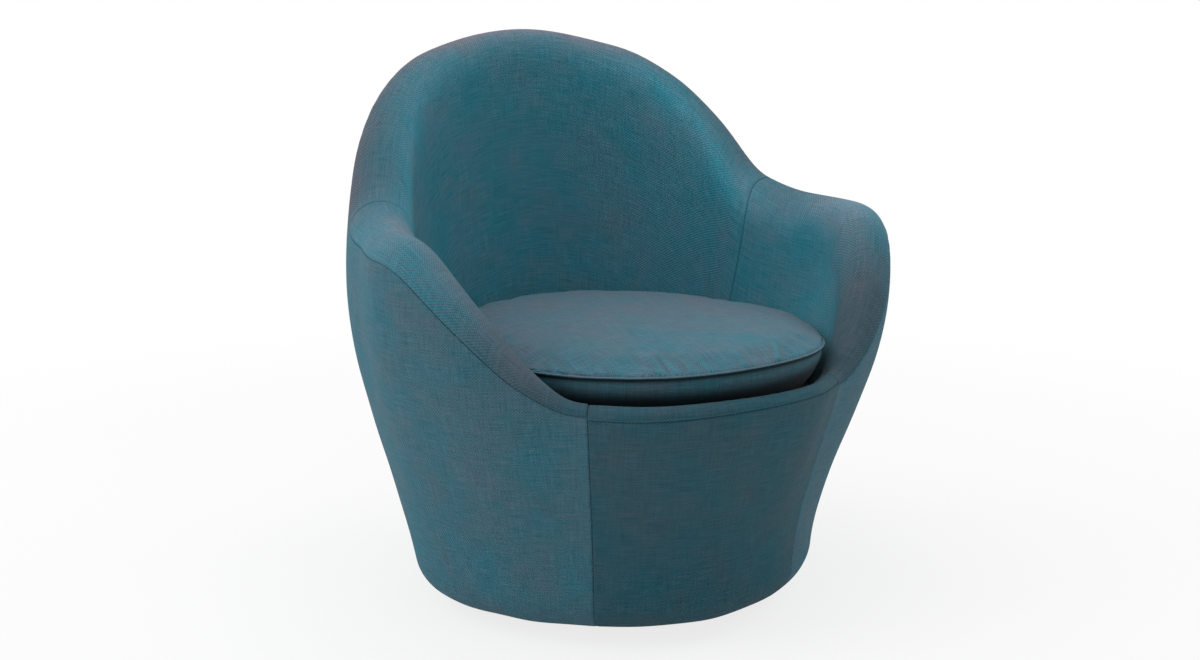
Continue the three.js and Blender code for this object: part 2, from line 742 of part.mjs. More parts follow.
// The same outline at a depth below the cloth's face
function cushionPoint(degrees, place, depth) {
  const step = 0.02;
  const before = cushionOutline(degrees, Math.max(place - step, 0));
  const after = cushionOutline(degrees, Math.min(place + step, 4));
  const run = after.r - before.r;
  const rise = after.z - before.z;
  const length = Math.hypot(run, rise);
  const p = cushionOutline(degrees, place);
  const onAxis = place === 0 || place === 4;
  const r = onAxis ? 0 : p.r - (depth * rise) / length;
  return polar(r, degrees, p.z + (depth * (onAxis ? Math.sign(run) : run)) / (onAxis ? 1 : length));
}

function addCushion() {
  const caseShares = [0, 0.6, 1, 1.5, 2, 2.35, 2.7];
  const crownShares = [3.2, 3.45, 3.7, 4];
  const seamShare = pieceGap / 2 / (cushionSide - cushionEdge);
  const crownSeamShare = pieceGap / 2 / (cushionCrown * (Math.PI / 2));
  const columns = 28;
  const angles = Array.from({ length: columns }, (_, k) => (fullCircle * k) / columns);
  const ring = (places, depth) => angles.map((d) => places.map((place) => cushionPoint(d, place, depth)));
  const casePlaces = [...caseShares, 3 - seamShare];
  const crownPlaces = [3 + crownSeamShare, ...crownShares];
  const coreDepth = clothThick + pieceGap;
  const caseGeometry = wallBetween(ring(casePlaces, 0), ring(casePlaces, clothThick), true);
  const topGeometry = wallBetween(ring(crownPlaces, 0), ring(crownPlaces, clothThick), true);
  const core = skinFrom(ring([...casePlaces, 3, ...crownPlaces], coreDepth), false);
  addPiece(tub, "cushion_core", core, foam);
  addPiece(tub, "cushion_case", caseGeometry, cushionTwill);
  addPiece(tub, "cushion_top", topGeometry, cushionTwill);
}

// One half of the swivel: a square plate, and a raised round land with a groove for the balls
function swivelPlate(flat, landSide) {
  const half = plateSize / 2;
  const shape = new THREE.Shape();
  const quarter = (x, y, from) => {
    shape.absarc(x, y, plateCorner, from, from + Math.PI / 2, false);
  };
  const inner = half - plateCorner;
  quarter(inner, inner, 0);
  quarter(-inner, inner, Math.PI / 2);
  quarter(-inner, -inner, Math.PI);
  quarter(inner, -inner, (Math.PI * 3) / 2);
  const drill = (x, y, radius) => {
    const path = new THREE.Path();
    path.absarc(x, y, radius, 0, Math.PI * 2, true);
    shape.holes.push(path);
  };
  for (const x of [-screwPlace, screwPlace]) {
    for (const y of [-screwPlace, screwPlace]) drill(x, y, screwRadius + pieceGap);
  }
  drill(0, 0, pinRadius + pinClear);
  const settings = { depth: plateThick, bevelEnabled: false, curveSegments: smallSides / 2 };
  const bottom = Math.min(flat, flat - landSide * plateThick);
  const plate = new THREE.ExtrudeGeometry(shape, settings).translate(0, 0, bottom);
  const root = flat - landSide * overrun;
  const tip = flat + landSide * raceLand;
  const [low, high] = [Math.min(root, tip), Math.max(root, tip)];
  const [near, far] = [raceRadius - raceWidth / 2, raceRadius + raceWidth / 2];
  const land = turned([[near, low], [far, low], [far, high], [near, high], [near, low]], raceSides);
  const groove = new THREE.TorusGeometry(raceRadius, ballRadius + grooveClear, grooveSides, raceSides);
  const whole = solidOf(plate).add(solidOf(land));
  return geometryOf(whole.subtract(solidOf(groove.translate(0, 0, ballHeight))));
}

// A pan head with its shank, head downwards when the head side is negative
function screwGeometry(bearing, headSide, shankEnd) {
  const crown = bearing + headSide * (screwHeadThick + pieceGap);
  const seat = bearing + headSide * pieceGap;
  const profile = [
    [0, crown], [screwHeadRadius * 0.7, crown], [screwHeadRadius, seat], [screwRadius, seat],
    [screwRadius, shankEnd], [0, shankEnd],
  ];
  return turned(headSide < 0 ? profile : profile.reverse(), screwSides);
}

function addSwivel() {
  addPiece(standing, "lower_swivel_plate", swivelPlate(lowerPlateTop, 1), zincSteel);
  addPiece(turning, "upper_swivel_plate", swivelPlate(upperPlateTop - plateThick, -1), zincSteel);
  const sides = [["front", -1], ["back", 1]];
  for (const [depthName, y] of sides) {
    for (const [sideName, x] of [["left", -1], ["right", 1]]) {
      const screw = screwGeometry(lowerPlateTop, 1, bossTop - screwBite);
      const bolt = screwGeometry(upperPlateTop - plateThick, -1, boardTop);
      addPiece(standing, `plinth_screw_${depthName}_${sideName}`, screw, zincSteel)
        .position.set(x * screwPlace, y * screwPlace, 0);
      addPiece(turning, `board_bolt_${depthName}_${sideName}`, bolt, zincSteel)
        .position.set(x * screwPlace, y * screwPlace, 0);
    }
  }
  addPivotPin();
  addBallCage();
}

// The rivet that holds the two plates together. It stands still with the lower one.
function addPivotPin() {
  const lower = lowerPlateBottom - pieceGap;
  const upper = upperPlateTop + pieceGap;
  const profile = [
    [0, lower - pinHeadThick], [pinHeadRadius, lower - pinHeadThick], [pinHeadRadius, lower],
    [pinRadius, lower], [pinRadius, upper], [pinHeadRadius, upper],
    [pinHeadRadius, upper + pinHeadThick], [0, upper + pinHeadThick],
  ];
  addPiece(standing, "pivot_pin", turned(profile, roundSides / 2), brightSteel);
}

function addBallCage() {
  const balls = 8;
  const [near, far] = [raceRadius - cageWidth / 2, raceRadius + cageWidth / 2];
  const [low, high] = [ballHeight - cageThick / 2, ballHeight + cageThick / 2];
  const band = [[near, low], [far, low], [far, high], [near, high], [near, low]];
  let cage = solidOf(turned(band, raceSides));
  for (let k = 0; k < balls; k += 1) {
    const place = polar(raceRadius, (fullCircle * k) / balls, ballHeight);
    const ball = new THREE.SphereGeometry(ballRadius, screwSides, screwSides / 2);
    cage = cage.add(solidOf(ball.translate(place.x, place.y, place.z)));
  }
  addPiece(chair, "ball_cage", geometryOf(cage), brightSteel);
}

// The hidden plinth on felt glides: a painted round board whose middle is raised to the lower plate,
// so that the dust cover turns clear of the rest
function addPlinth() {
  const bottom = glideThick + pieceGap;
  const screwHoles = [-1, 1].flatMap((x) => [-1, 1].map((y) => (
    { x: x * screwPlace, y: y * screwPlace, radius: screwRadius + pieceGap }
  )));
  const holes = [...screwHoles, { x: 0, y: 0, radius: pinHeadRadius + overrun }];
  const disc = plateBetween(roundOutline(plinthRadius, roundSides), holes, bottom, plinthTop);
  const boss = plateBetween(roundOutline(dustHole - bossClear, roundSides), holes, bottom, bossTop);
  addPiece(standing, "plinth", geometryOf(solidOf(disc).add(solidOf(boss))), blackPaint);
  const glides = 5;
  const edge = glideRadius * 0.9;
  const corner = glideThick * 0.3;
  const profile = [[0, 0], [edge, 0], [glideRadius, corner], [glideRadius, glideThick], [0, glideThick]];
  for (let k = 0; k < glides; k += 1) {
    const place = polar(glidePlace, (fullCircle * k) / glides, 0);
    addPiece(standing, `glide_${k + 1}`, turned(profile, roundSides / 3), feltPad)
      .position.set(place.x, place.y, 0);
  }
}

addPlinth();
addSwivel();
addFrame();
addWebbing();
addSheets();
addUpholstery();
addCushion();

export default chair;
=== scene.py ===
"""The looks of a swivel tub armchair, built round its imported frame.

The tub's upholstery is one section carried round the chair, as in the CAD source: a hem that turns
under at the floor, an outer wall, a rolled rim and an inner wall down to the seat deck. Each panel
is a grid worked out with numpy from that section, with its seams, puckers and the cloth's own
unevenness laid on along the normal. The loose cushion is a sewn cover of flat-cut panels, blown up
by cloth simulation. Lengths are metres. Angles are degrees from the middle of the front, rising
towards +X, and a place is how far along its section a point lies, one whole number for each part
of it.
"""

import json
import math

import bpy
import numpy as np
from mathutils import Matrix, Vector


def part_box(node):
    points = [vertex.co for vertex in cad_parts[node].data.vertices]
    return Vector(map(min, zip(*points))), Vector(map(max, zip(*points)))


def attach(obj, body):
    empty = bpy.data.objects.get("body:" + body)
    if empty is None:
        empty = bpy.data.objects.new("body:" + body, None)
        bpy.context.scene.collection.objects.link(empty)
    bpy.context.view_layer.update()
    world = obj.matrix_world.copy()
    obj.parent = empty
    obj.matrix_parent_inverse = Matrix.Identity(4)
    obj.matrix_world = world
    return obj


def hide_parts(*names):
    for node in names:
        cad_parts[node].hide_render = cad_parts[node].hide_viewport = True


bl_info = {
    "name": "Swivel tub armchair",
    "version": (1, 0, 0),
    "blender": (4, 5, 0),
    "location": "3D View > Sidebar > Tub chair",
    "description": "Builds the upholstery, cushion, finishes and studio of a swivel tub armchair",
    "category": "Add Mesh",
}

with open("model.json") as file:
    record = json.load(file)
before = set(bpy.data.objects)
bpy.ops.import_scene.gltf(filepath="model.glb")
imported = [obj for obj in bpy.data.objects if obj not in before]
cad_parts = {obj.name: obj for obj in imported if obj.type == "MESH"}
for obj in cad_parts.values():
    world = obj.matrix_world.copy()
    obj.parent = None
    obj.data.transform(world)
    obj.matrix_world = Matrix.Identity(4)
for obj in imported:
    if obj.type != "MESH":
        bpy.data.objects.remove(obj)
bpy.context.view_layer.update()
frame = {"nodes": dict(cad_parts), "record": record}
SEAT_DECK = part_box("seat_deck_pad")[0].z
DECK_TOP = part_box("seat_deck_pad")[1].z

# Small fixed sizes
HALF_GAP = 0.00015  # from the middle of a seam to either panel's edge
HAIR = 0.0003  # between cloth surfaces that rest on each other
HOOP_ROOM = 0.0066  # radius left free in the roll for the steel hoop
PLINTH_ROOM = 0.1393  # radius of the dust cover's hole round the plinth

# Stations round the tub, from the middle of the front to the middle of the back, and the share of
# each size there
STATIONS = np.array([0, 22, 36, 48, 60, 76, 95, 112, 124, 136, 152, 180.0])
REACH = np.array([0.931, 0.926, 0.887, 0.918, 0.97, 1, 0.918, 0.912, 0.92, 0.923, 0.92, 0.901])
ARM_RISE = np.array([0.01, 0, 0, 0.22, 0.605, 0.985, 1, 1, 1, 1, 1, 1])
BACK_RISE = np.array([0, 0, 0, 0, 0, 0, 0.012, 0.107, 0.426, 0.689, 0.881, 1])
ROLL = np.array([0.37, 0.37, 0.39, 0.6, 0.78, 0.89, 0.935, 1, 0.915, 0.825, 0.78, 0.76])
LEAN = np.array([0.1, 0.12, 0.1, 0.44, 0.77, 1, 0.51, 0.44, 0.59, 0.72, 0.79, 0.7])
PAD = np.array([0.25, 0.25, 0.26, 0.5, 0.8, 0.84, 0.84, 0.86, 0.95, 1, 1, 1])
OVERHANG = np.array([1, 0.82, 0.56, 0.79, 0.76, 0.5, 0.1, 0, 0, 0, 0, 0])
LOW_SLOPE = np.array([0, 0, 0.03, 0.05, 0.09, 0.15, 0.19, 0.21, 0.22, 0.25, 0.28, 0.3])
TOP_SLOPE = np.array(
    [0.32, 0.3, 0.24, 0.15, 0.03, -0.08, -0.144, -0.17, -0.19, -0.22, -0.28, -0.34]
)


def number(name, default, description, **kind):
    """A number that a user can change, with its unit or subtype where one fits."""
    return bpy.props.FloatProperty(name=name, default=default, description=description, **kind)


def metres(name, default, description):
    """A length that a user can change, in metres."""
    return number(name, default, description, unit="LENGTH")


def hex_colour(name, default, description):
    """A colour that a user can change, as sRGB hex."""
    return bpy.props.StringProperty(name=name, default=default, description=description)


class TubSettings(bpy.types.PropertyGroup):
    """Sizes of the upholstered tub."""

    back_height: metres("Back height", 0.8, "Floor to the top of the back")
    arm_height: metres("Arm height", 0.556, "Floor to the top of the arms")
    rail_height: metres("Front rail height", 0.353, "Floor to the top of the front rail")
    rim_reach: metres("Rim reach", 0.364, "Furthest reach of the rolled rim's middle")
    roll_radius: metres("Roll radius", 0.046, "Largest radius of the rolled rim")
    pad_lean: metres("Inner lean", 0.061, "How far the inner wall leans in by the deck")
    pad_depth: metres("Pad depth", 0.05, "Thickness of the inner padding at the deck")
    side_flare: metres("Side flare", 0.065, "Rim's furthest reach less the hem's half width")
    front_flare: metres("Front flare", 0.081, "Rim's furthest reach less the hem's reach in front")
    back_flare: metres("Back flare", 0.054, "Rim's furthest reach less the hem's reach behind")
    hem_radius: metres("Hem radius", 0.05, "Radius of the turned-under hem")
    hem_return: metres("Hem return", 0.03, "Flat run of the cover under the tub")
    floor_gap: metres("Floor gap", 0.02, "Floor to the underside of the tub")
    wall_depth: metres("Wall padding", 0.01, "Cover and padding of the outer wall together")
    seam_depth: metres("Seam depth", 0.0017, "How far the panels' edges are drawn in")
    seam_width: metres("Seam width", 0.0011, "Half width of the dip along a seam")
    arm_seam: metres("Arm seam", 0.0055, "How far round the roll the arms' outer seam lies")
    back_seam: metres("Back seam", 0.001, "How far round the roll the back's outer seam lies")
    rail_seam: metres("Rail seam", 0.005, "How far round the roll the rail's seam lies in front")
    rail_climb: metres("Rail seam's climb", 0.004, "How much the rail's seam climbs to the right")
    pucker: metres("Pucker", 0.00035, "Height of the small gathers beside a seam")
    sway: metres("Sway", 0.0004, "Height of the padding's broad unevenness")


class CushionSettings(bpy.types.PropertyGroup):
    """Sizes of the loose seat cushion."""

    side: metres("Side height", 0.056, "Height of the cushion's boxing")
    crown: metres("Crown", 0.026, "Rise of the top above its seam")
    clear: metres("Clearance", 0.008, "Gap between the cushion and the tub")
    overhang: metres("Overhang", 0.034, "How far the top reaches over the front rail")
    tuck: metres("Tuck", 0.012, "How far the boxing turns in under the cushion")
    roll: metres("Edge roll", 0.0075, "How far the filled top stands out beside its seam")
    groove: metres("Seam groove", 0.004, "How far the boxing is drawn in under its top seam")
    welt: metres("Welt radius", 0.0011, "Radius of the narrow welt in the top seam")
    fullness: number("Fullness", 0.022, "Extra cloth eased into the top seam, as a share")


class FinishSettings(bpy.types.PropertyGroup):
    """Colours of the two-tone cloth and sizes of its weave."""

    warp: hex_colour("Warp", "#1f7282", "Colour of the upright threads, as sRGB hex")
    weft: hex_colour("Weft", "#6b646e", "Colour of the crosswise threads, as sRGB hex")
    glow: hex_colour("Nap", "#a49a9c", "Colour that the nap takes at a low angle, as sRGB hex")
    thread: metres("Thread spacing", 0.002, "Distance from thread to thread")
    contrast: number("Float contrast", 0.3, "How much lighter the floating threads are")
    bloom: number("Bloom", 0.17, "Weight of the nap's glow at low angles")


class StageSettings(bpy.types.PropertyGroup):
    """The studio and the photograph's viewpoint."""

    azimuth: number(
        "Azimuth", math.radians(-27.975), "Where the camera stands round the chair", subtype="ANGLE"
    )
    distance: metres("Distance", 2.496875, "Level distance from the tub's middle to the camera")
    height: metres("Camera height", 0.882273, "Height of the camera above the floor")
    aside: number("Aside", math.radians(0.526), "Turn of the view from the middle", subtype="ANGLE")
    pitch: number("Pitch", math.radians(11.364), "How far the camera looks down", subtype="ANGLE")
    lens: number("Focal length", 53.052, "Focal length in millimetres on a 36 mm frame")
    left: number("Left light", 38.0, "Power of the soft lamp on the left", unit="POWER")
    right: number("Right light", 20.0, "Power of the soft lamp on the right", unit="POWER")
    top: number("Top light", 25.0, "Power of the lamp overhead", unit="POWER")
    front: number("Front light", 6.0, "Power of the lamp behind the camera", unit="POWER")
    sky: number("Ambient light", 0.3, "Strength of the even light from all round")


# ---------------------------------------------------------------- the section and its points


def bell(value, middle, spread, power=2):
    """A smooth bump of height 1: exp(-((value - middle) / spread)^power)."""
    return np.exp(-(((value - middle) / spread) ** power))


def smooth_step(value, low, high):
    """0 up to low and 1 from high on: s^2 (3 - 2s), s being the share of the way between them."""
    s = np.clip((value - low) / (high - low), 0, 1)
    return s * s * (3 - 2 * s)


def cubic(s, start, end, leave, arrive):
    """A curve from start to end while s goes from 0 to 1, with the slopes leave and arrive there:
    start (1 + 2s)(1 - s)^2 + end s^2 (3 - 2s) + leave s (1 - s)^2 - arrive s^2 (1 - s)."""
    return (
        start * (1 + 2 * s) * (1 - s) ** 2
        + end * s * s * (3 - 2 * s)
        + leave * s * (1 - s) ** 2
        - arrive * s * s * (1 - s)
    )


def signed_angle(degrees):
    """The same angle between -180 and 180 degrees, negative on the left of the front."""
    return np.mod(degrees + 180, 360) - 180


def softened(values, spread):
    """A ring of half-degree values, weighted with a bell curve of the given spread in degrees."""
    offset = np.arange(len(values)) * 0.5
    offset = np.minimum(offset, 360 - offset)
    weight = np.exp(-0.5 * (offset / spread) ** 2)
    return np.fft.irfft(np.fft.rfft(values) * np.fft.rfft(weight / weight.sum()), len(values))


def ring_of(shares, spread=2.2):
    """A table of stations as 720 values round the tub: cubic pieces that meet with the harmonic
    mean of the slopes on either side, level at the front and back, mirrored and then softened."""
    rise = np.diff(shares) / np.diff(STATIONS)
    before, after = rise[:-1], rise[1:]
    same = before * after > 0
    mean = 2 * before * after / np.where(same, before + after, 1)
    slope = np.concatenate([[0], np.where(same, mean, 0), [0]])
    at = np.arange(0, 180.25, 0.5)
    k = np.clip(np.searchsorted(STATIONS, at, side="right") - 1, 0, len(STATIONS) - 2)
    span = STATIONS[k + 1] - STATIONS[k]
    s = (at - STATIONS[k]) / span
    half = cubic(s, shares[k], shares[k + 1], slope[k] * span, slope[k + 1] * span)
    return softened(np.concatenate([half, half[-2:0:-1]]), spread)


def at_angle(ring, degrees):
    """A ring's value at any angle, straight between its half degrees."""
    return np.interp(np.mod(degrees, 360) * 2, np.arange(len(ring) + 1), np.append(ring, ring[0]))


RINGS = {
    "reach": ring_of(REACH),
    "arm": ring_of(ARM_RISE),
    "back": ring_of(BACK_RISE),
    "roll": ring_of(ROLL),
    "lean": ring_of(LEAN),
    "pad": ring_of(PAD),
    "overhang": ring_of(OVERHANG, 6.0),
    "low": ring_of(LOW_SLOPE),
    "top": ring_of(TOP_SLOPE),
}
PLAN_POWER = 1.81  # how square the hem's plan is: 2 is an oval


def section_at(tub, degrees):
    """Everything that the section needs at each angle. The hem's plan is a rounded oval,
    (x/a)^n + (y/b)^n = 1, whose front and back halves differ in depth and blend into each other at
    the sides. The rim's height is the rail's plus shares of the arm's and back's. The lift is the
    angle round the roll at which the outer seam lies, and each panel sets its own."""
    part = {name: at_angle(ring, degrees) for name, ring in RINGS.items()}
    turn = np.radians(degrees)
    fore, aft = tub.rim_reach - tub.front_flare, tub.rim_reach - tub.back_flare
    blend = 0.5 + 0.5 * np.tanh(np.cos(turn) / 0.12)
    along = np.abs(np.cos(turn)) / (fore * blend + aft * (1 - blend))
    across = np.abs(np.sin(turn)) / (tub.rim_reach - tub.side_flare)
    base = (across**PLAN_POWER + along**PLAN_POWER) ** (-1 / PLAN_POWER)
    roll = tub.roll_radius * part["roll"]
    rim = (
        tub.rail_height
        + (tub.arm_height - tub.rail_height) * part["arm"]
        + (tub.back_height - tub.arm_height) * part["back"]
    )
    section = {"roll": roll, "low": part["low"], "top": part["top"], "lift": 0.02}
    section["hem_r"] = base - tub.hem_radius
    section["hem_z"] = tub.floor_gap + tub.hem_radius
    section["hem_end"] = np.pi / 2 - np.arctan(part["low"])
    section["start"] = -np.arctan(part["top"])
    section["roll_r"] = tub.rim_reach * part["reach"]
    section["roll_z"] = rim - roll
    section["foot_r"] = section["hem_r"] + tub.hem_radius * np.sin(section["hem_end"])
    section["foot_z"] = section["hem_z"] - tub.hem_radius * np.cos(section["hem_end"])
    section["head_r"] = section["roll_r"] + roll * np.cos(section["start"])
    section["head_z"] = section["roll_z"] + roll * np.sin(section["start"])
    section["lean"] = tub.pad_lean * part["lean"]
    section["pad"] = tub.pad_depth * part["pad"]
    section["overhang"] = part["overhang"]
    return section


def seam_lift(tub, section, degrees, on_rail):
    """How far round the roll, as an angle, the rim's outer seam lies above the roll's foot. Over
    the front rail it climbs from left to right as half a sine wave over 28 degrees each way, as
    it was pulled on. On the arms it lies higher than on the back, and eases down from 76 to 108
    degrees."""
    signed = signed_angle(degrees)
    if on_rail:
        lift = tub.rail_seam + tub.rail_climb * np.sin(np.pi / 2 * np.clip(signed / 28, -1, 1))
    else:
        fall = tub.arm_seam - tub.back_seam
        lift = tub.arm_seam - fall * smooth_step(np.abs(signed), 76, 108)
    return lift / section["roll"]


def hem_and_wall(tub, section, place, depth):
    """Radius and height on the outer side. The place runs 0 to 1 along the flat return, to 2
    round the hem's arc, to 3 up the wall, a cubic from foot to head with the slope given at
    each, and to 4 a little way round the roll to the seam."""
    flat = np.clip(place, 0, 1)
    arc = np.clip(place - 1, 0, 1) * section["hem_end"]
    s = np.clip(place - 2, 0, 1)
    rise = section["head_z"] - section["foot_z"]
    low, top = section["low"] * rise, section["top"] * rise
    wall_r = cubic(s, section["foot_r"], section["head_r"], low, top)
    rate = (
        6 * s * (1 - s) * (section["head_r"] - section["foot_r"])
        + low * (1 - s) * (1 - 3 * s)
        + top * s * (3 * s - 2)
    ) / rise
    shrink = depth / np.hypot(1, rate)
    reach = tub.hem_radius - depth
    hem_r = section["hem_r"] + reach * np.sin(arc) - tub.hem_return * (1 - flat)
    hem_z = section["hem_z"] - reach * np.cos(arc)
    angle = section["start"] + np.clip(place - 3, 0, 1) * section["lift"]
    inner = section["roll"] - depth
    r = np.where(place > 2, wall_r - shrink, hem_r)
    z = np.where(place > 2, section["foot_z"] + s * rise + shrink * rate, hem_z)
    r = np.where(place > 3, section["roll_r"] + inner * np.cos(angle), r)
    z = np.where(place > 3, section["roll_z"] + inner * np.sin(angle), z)
    return r, z


def rim_and_inside(section, place, depth):
    """Radius and height on the inner side. The place runs 0 to 1 round the roll and to 2 down the
    inner wall, whose lean grows as s squared times (1.5 - 0.5 s)."""
    s = np.clip(place - 1, 0, 1)
    start = section["start"] + section["lift"]
    angle = start + np.clip(place, 0, 1) * (np.pi - start)
    drop = section["roll_z"] - SEAT_DECK
    slope = section["lean"] * (3 * s - 1.5 * s * s) / drop
    wall_r = section["roll_r"] - section["roll"] - section["lean"] * s * s * (1.5 - 0.5 * s)
    inner = section["roll"] - depth
    roll_r = section["roll_r"] + inner * np.cos(angle)
    roll_z = section["roll_z"] + inner * np.sin(angle)
    r = np.where(place > 1, wall_r + depth * np.hypot(1, slope), roll_r)
    z = np.where(place > 1, section["roll_z"] - s * drop, roll_z)
    return r, z


def eased(r, z, reach, spread):
    """A profile softened where the roll meets the inner wall: each point becomes the mean of its
    neighbours under a bell whose spread is greatest there, dies out as exp(-(reach / 50 mm)^2), and
    stays under half of the way to the profile's nearer end, so both ends stay where they are."""
    step = np.hypot(np.diff(r, axis=1, prepend=r[:, :1]), np.diff(z, axis=1, prepend=z[:, :1]))
    run = np.cumsum(step, axis=1)
    size = np.gradient(run, axis=1)
    to_end = np.minimum(run, run[:, -1:] - run)
    width = 1e-5 + np.minimum(spread * np.exp(-((reach / 0.05) ** 2)), to_end / 2.2)
    away = (run[:, :, None] - run[:, None, :]) / width[:, :, None]
    weight = np.exp(-0.5 * away**2) * size[:, None, :]
    weight /= weight.sum(axis=2, keepdims=True)
    return np.einsum("ijk,ik->ij", weight, r), np.einsum("ijk,ik->ij", weight, z)


def swept(r, degrees, z):
    """Points of a radius, an angle round the tub and a height. The tub's own middle lies a small
    shift along Y from the swivel's axis, so the origin is under the middle of the whole chair."""
    turn = np.radians(degrees)
    return np.stack([r * np.sin(turn), -r * np.cos(turn) + SHIFT, z + 0 * r], axis=-1)


def tub_shift(tub):
    """How far behind the origin the tub's own middle lies: half of what the tub reaches further in
    front than behind, so that its box is centred."""
    reach = []
    for degrees in (0.0, 180.0):
        section = section_at(tub, np.array([[degrees]]))
        share = np.linspace(0, 1, 200)[None, :]
        wall = hem_and_wall(tub, section, 2 + share, 0)[0].max()
        rim = rim_and_inside(section, share, 0)[0].max()
        reach.append(max(wall, rim))
    return (reach[0] - reach[1]) / 2


SHIFT = 0.0  # main works it out from the tub's settings


def spaced(low, high, step, fine=0.0, stretch=0.0):
    """Places from low to high about a step apart, drawn close together within a stretch of each
    end: the spacing there grows from fine to step."""
    if not stretch:
        return np.linspace(low, high, max(2, int(round((high - low) / step)) + 1))
    count = max(3, int(math.ceil(2 * stretch / (fine + step))))
    grow = np.cumsum(np.linspace(fine, step, count))
    grow = np.concatenate([[0], grow / grow[-1] * stretch])
    middle = spaced(low + stretch, high - stretch, step)
    return np.concatenate([low + grow, middle[1:-1], (high - grow)[::-1]])


def run_length(points, axis):
    """Distance travelled over a grid of points along one axis."""
    step = np.linalg.norm(np.diff(points, axis=axis), axis=-1)
    return np.pad(np.cumsum(step, axis=axis), [(1, 0), (0, 0)] if axis == 0 else [(0, 0), (1, 0)])


def normals_of(points):
    """Unit normals of a grid, the cross product of its two directions."""
    n = np.cross(np.gradient(points, axis=0), np.gradient(points, axis=1))
    return n / np.maximum(np.linalg.norm(n, axis=-1, keepdims=True), 1e-12)


def waves(x, y, seed, count, shortest, longest):
    """A smooth uneven field of height about 1: cosines whose lengths lie between the two given, in
    seeded directions and phases."""
    rng = np.random.default_rng(seed)
    length = np.exp(rng.uniform(math.log(shortest), math.log(longest), count))
    way = rng.uniform(0, 2 * np.pi, count)
    phase = rng.uniform(0, 2 * np.pi, count)
    field = sum(
        np.cos(2 * np.pi / L * (x * math.cos(w) + y * math.sin(w)) + p)
        for L, w, p in zip(length, way, phase)
    )
    return field / math.sqrt(count / 2)


def gathers(along, seed, length):
    """Short ridges across a seam: a cosine whose pitch and strength wander along it."""
    rng = np.random.default_rng(seed)
    a, b, c = rng.uniform(0, 2 * np.pi, 3)
    wander = 0.9 * np.sin(along * 23 + a) + 0.6 * np.sin(along * 61 + b)
    strength = 0.55 + 0.45 * np.sin(along * 17 + c)
    return np.cos(2 * np.pi * along / length + 2 * wander) * strength


# ---------------------------------------------------------------- meshes


def grid_faces(rows, columns, start=0, closed=False):
    """Quads of a grid of points numbered row by row. A closed one joins its last row to its
    first."""
    i = np.arange(rows if closed else rows - 1)[:, None]
    j = np.arange(columns - 1)[None, :]
    a, b = i * columns + j, ((i + 1) % rows) * columns + j
    return np.stack([a, b, b + 1, a + 1], axis=-1).reshape(-1, 4) + start


def facing_out(points, faces):
    """The same quads, all turned over if the volume that they enclose comes out negative."""
    a, b, c, d = (points[faces[:, k]] for k in range(4))
    volume = (a * (np.cross(b, c) + np.cross(c, d))).sum()
    return faces if volume > 0 else faces[:, ::-1]


def new_piece(name, points, faces, materials, face_slots=None, uv=None, values=None):
    """A mesh object from arrays: quads, a material number for each face, the flat position in
    metres of each point or of each face's corners, and named values at each point."""
    mesh = bpy.data.meshes.new(name)
    mesh.from_pydata(points.reshape(-1, 3).tolist(), [], faces.tolist())
    for material in materials:
        mesh.materials.append(material)
    if face_slots is not None:
        mesh.polygons.foreach_set("material_index", face_slots.astype(np.int32))
    if uv is not None:
        corners = uv if uv.ndim == 3 else uv[faces]
        layer = mesh.uv_layers.new(name="cloth")
        layer.data.foreach_set("uv", corners.astype(np.float32).ravel())
    for label, value in (values or {}).items():
        layer = mesh.attributes.new(label, "FLOAT", "POINT")
        layer.data.foreach_set("value", value.astype(np.float32).ravel())
    mesh.polygons.foreach_set("use_smooth", np.ones(len(mesh.polygons), bool))
    mesh.validate(clean_customdata=False)
    mesh.update()
    piece = bpy.data.objects.new(name, mesh)
    bpy.context.scene.collection.objects.link(piece)
    return piece


def walled(front, back):
    """A closed shell between two grids that match point for point: both faces and the four edges
    between them. Returns the points, the quads and each quad's material: 1 behind, and 0
    elsewhere."""
    rows, columns = front.shape[:2]
    points = np.concatenate([front.reshape(-1, 3), back.reshape(-1, 3)])
    near = grid_faces(rows, columns)
    far = grid_faces(rows, columns, rows * columns)[:, ::-1]
    number = np.arange(rows * columns).reshape(rows, columns)
    loop = np.concatenate([number[:, 0], number[-1, 1:], number[-2::-1, -1], number[0, -2:0:-1]])
    ahead = np.roll(loop, -1)
    edge = np.stack([loop, loop + rows * columns, ahead + rows * columns, ahead], axis=-1)
    faces = np.concatenate([near, far, edge])
    slots = np.concatenate([np.zeros(len(near)), np.ones(len(far)), np.zeros(len(edge))])
    return points, facing_out(points, faces), slots


# ---------------------------------------------------------------- materials

MATH = "ShaderNodeMath"
TIMES, TIMES_PLUS = {"operation": "MULTIPLY"}, {"operation": "MULTIPLY_ADD"}
PLAIN_MIX = {"data_type": "RGBA"}
WHITE = (1, 1, 1, 1)


def linear(colour):
    """An sRGB hex colour as linear red, green, blue and alpha."""
    value = np.array([int(colour[k : k + 2], 16) for k in (1, 3, 5)]) / 255
    value = np.where(value <= 0.04045, value / 12.92, ((value + 0.055) / 1.055) ** 2.4)
    return (*value.tolist(), 1.0)


def add_node(tree, kind, settings=None, **inputs):
    """Adds one node, with its settings, and its inputs as values or as links from other sockets.
    An input is called by its name, or by i and its number."""
    node = tree.nodes.new(kind)
    for name, value in (settings or {}).items():
        setattr(node, name, value)
    for name, value in inputs.items():
        socket = node.inputs[int(name[1:]) if name[1:].isdigit() else name]
        if isinstance(value, bpy.types.NodeSocket):
            tree.links.new(value, socket)
        else:
            socket.default_value = value
    return node


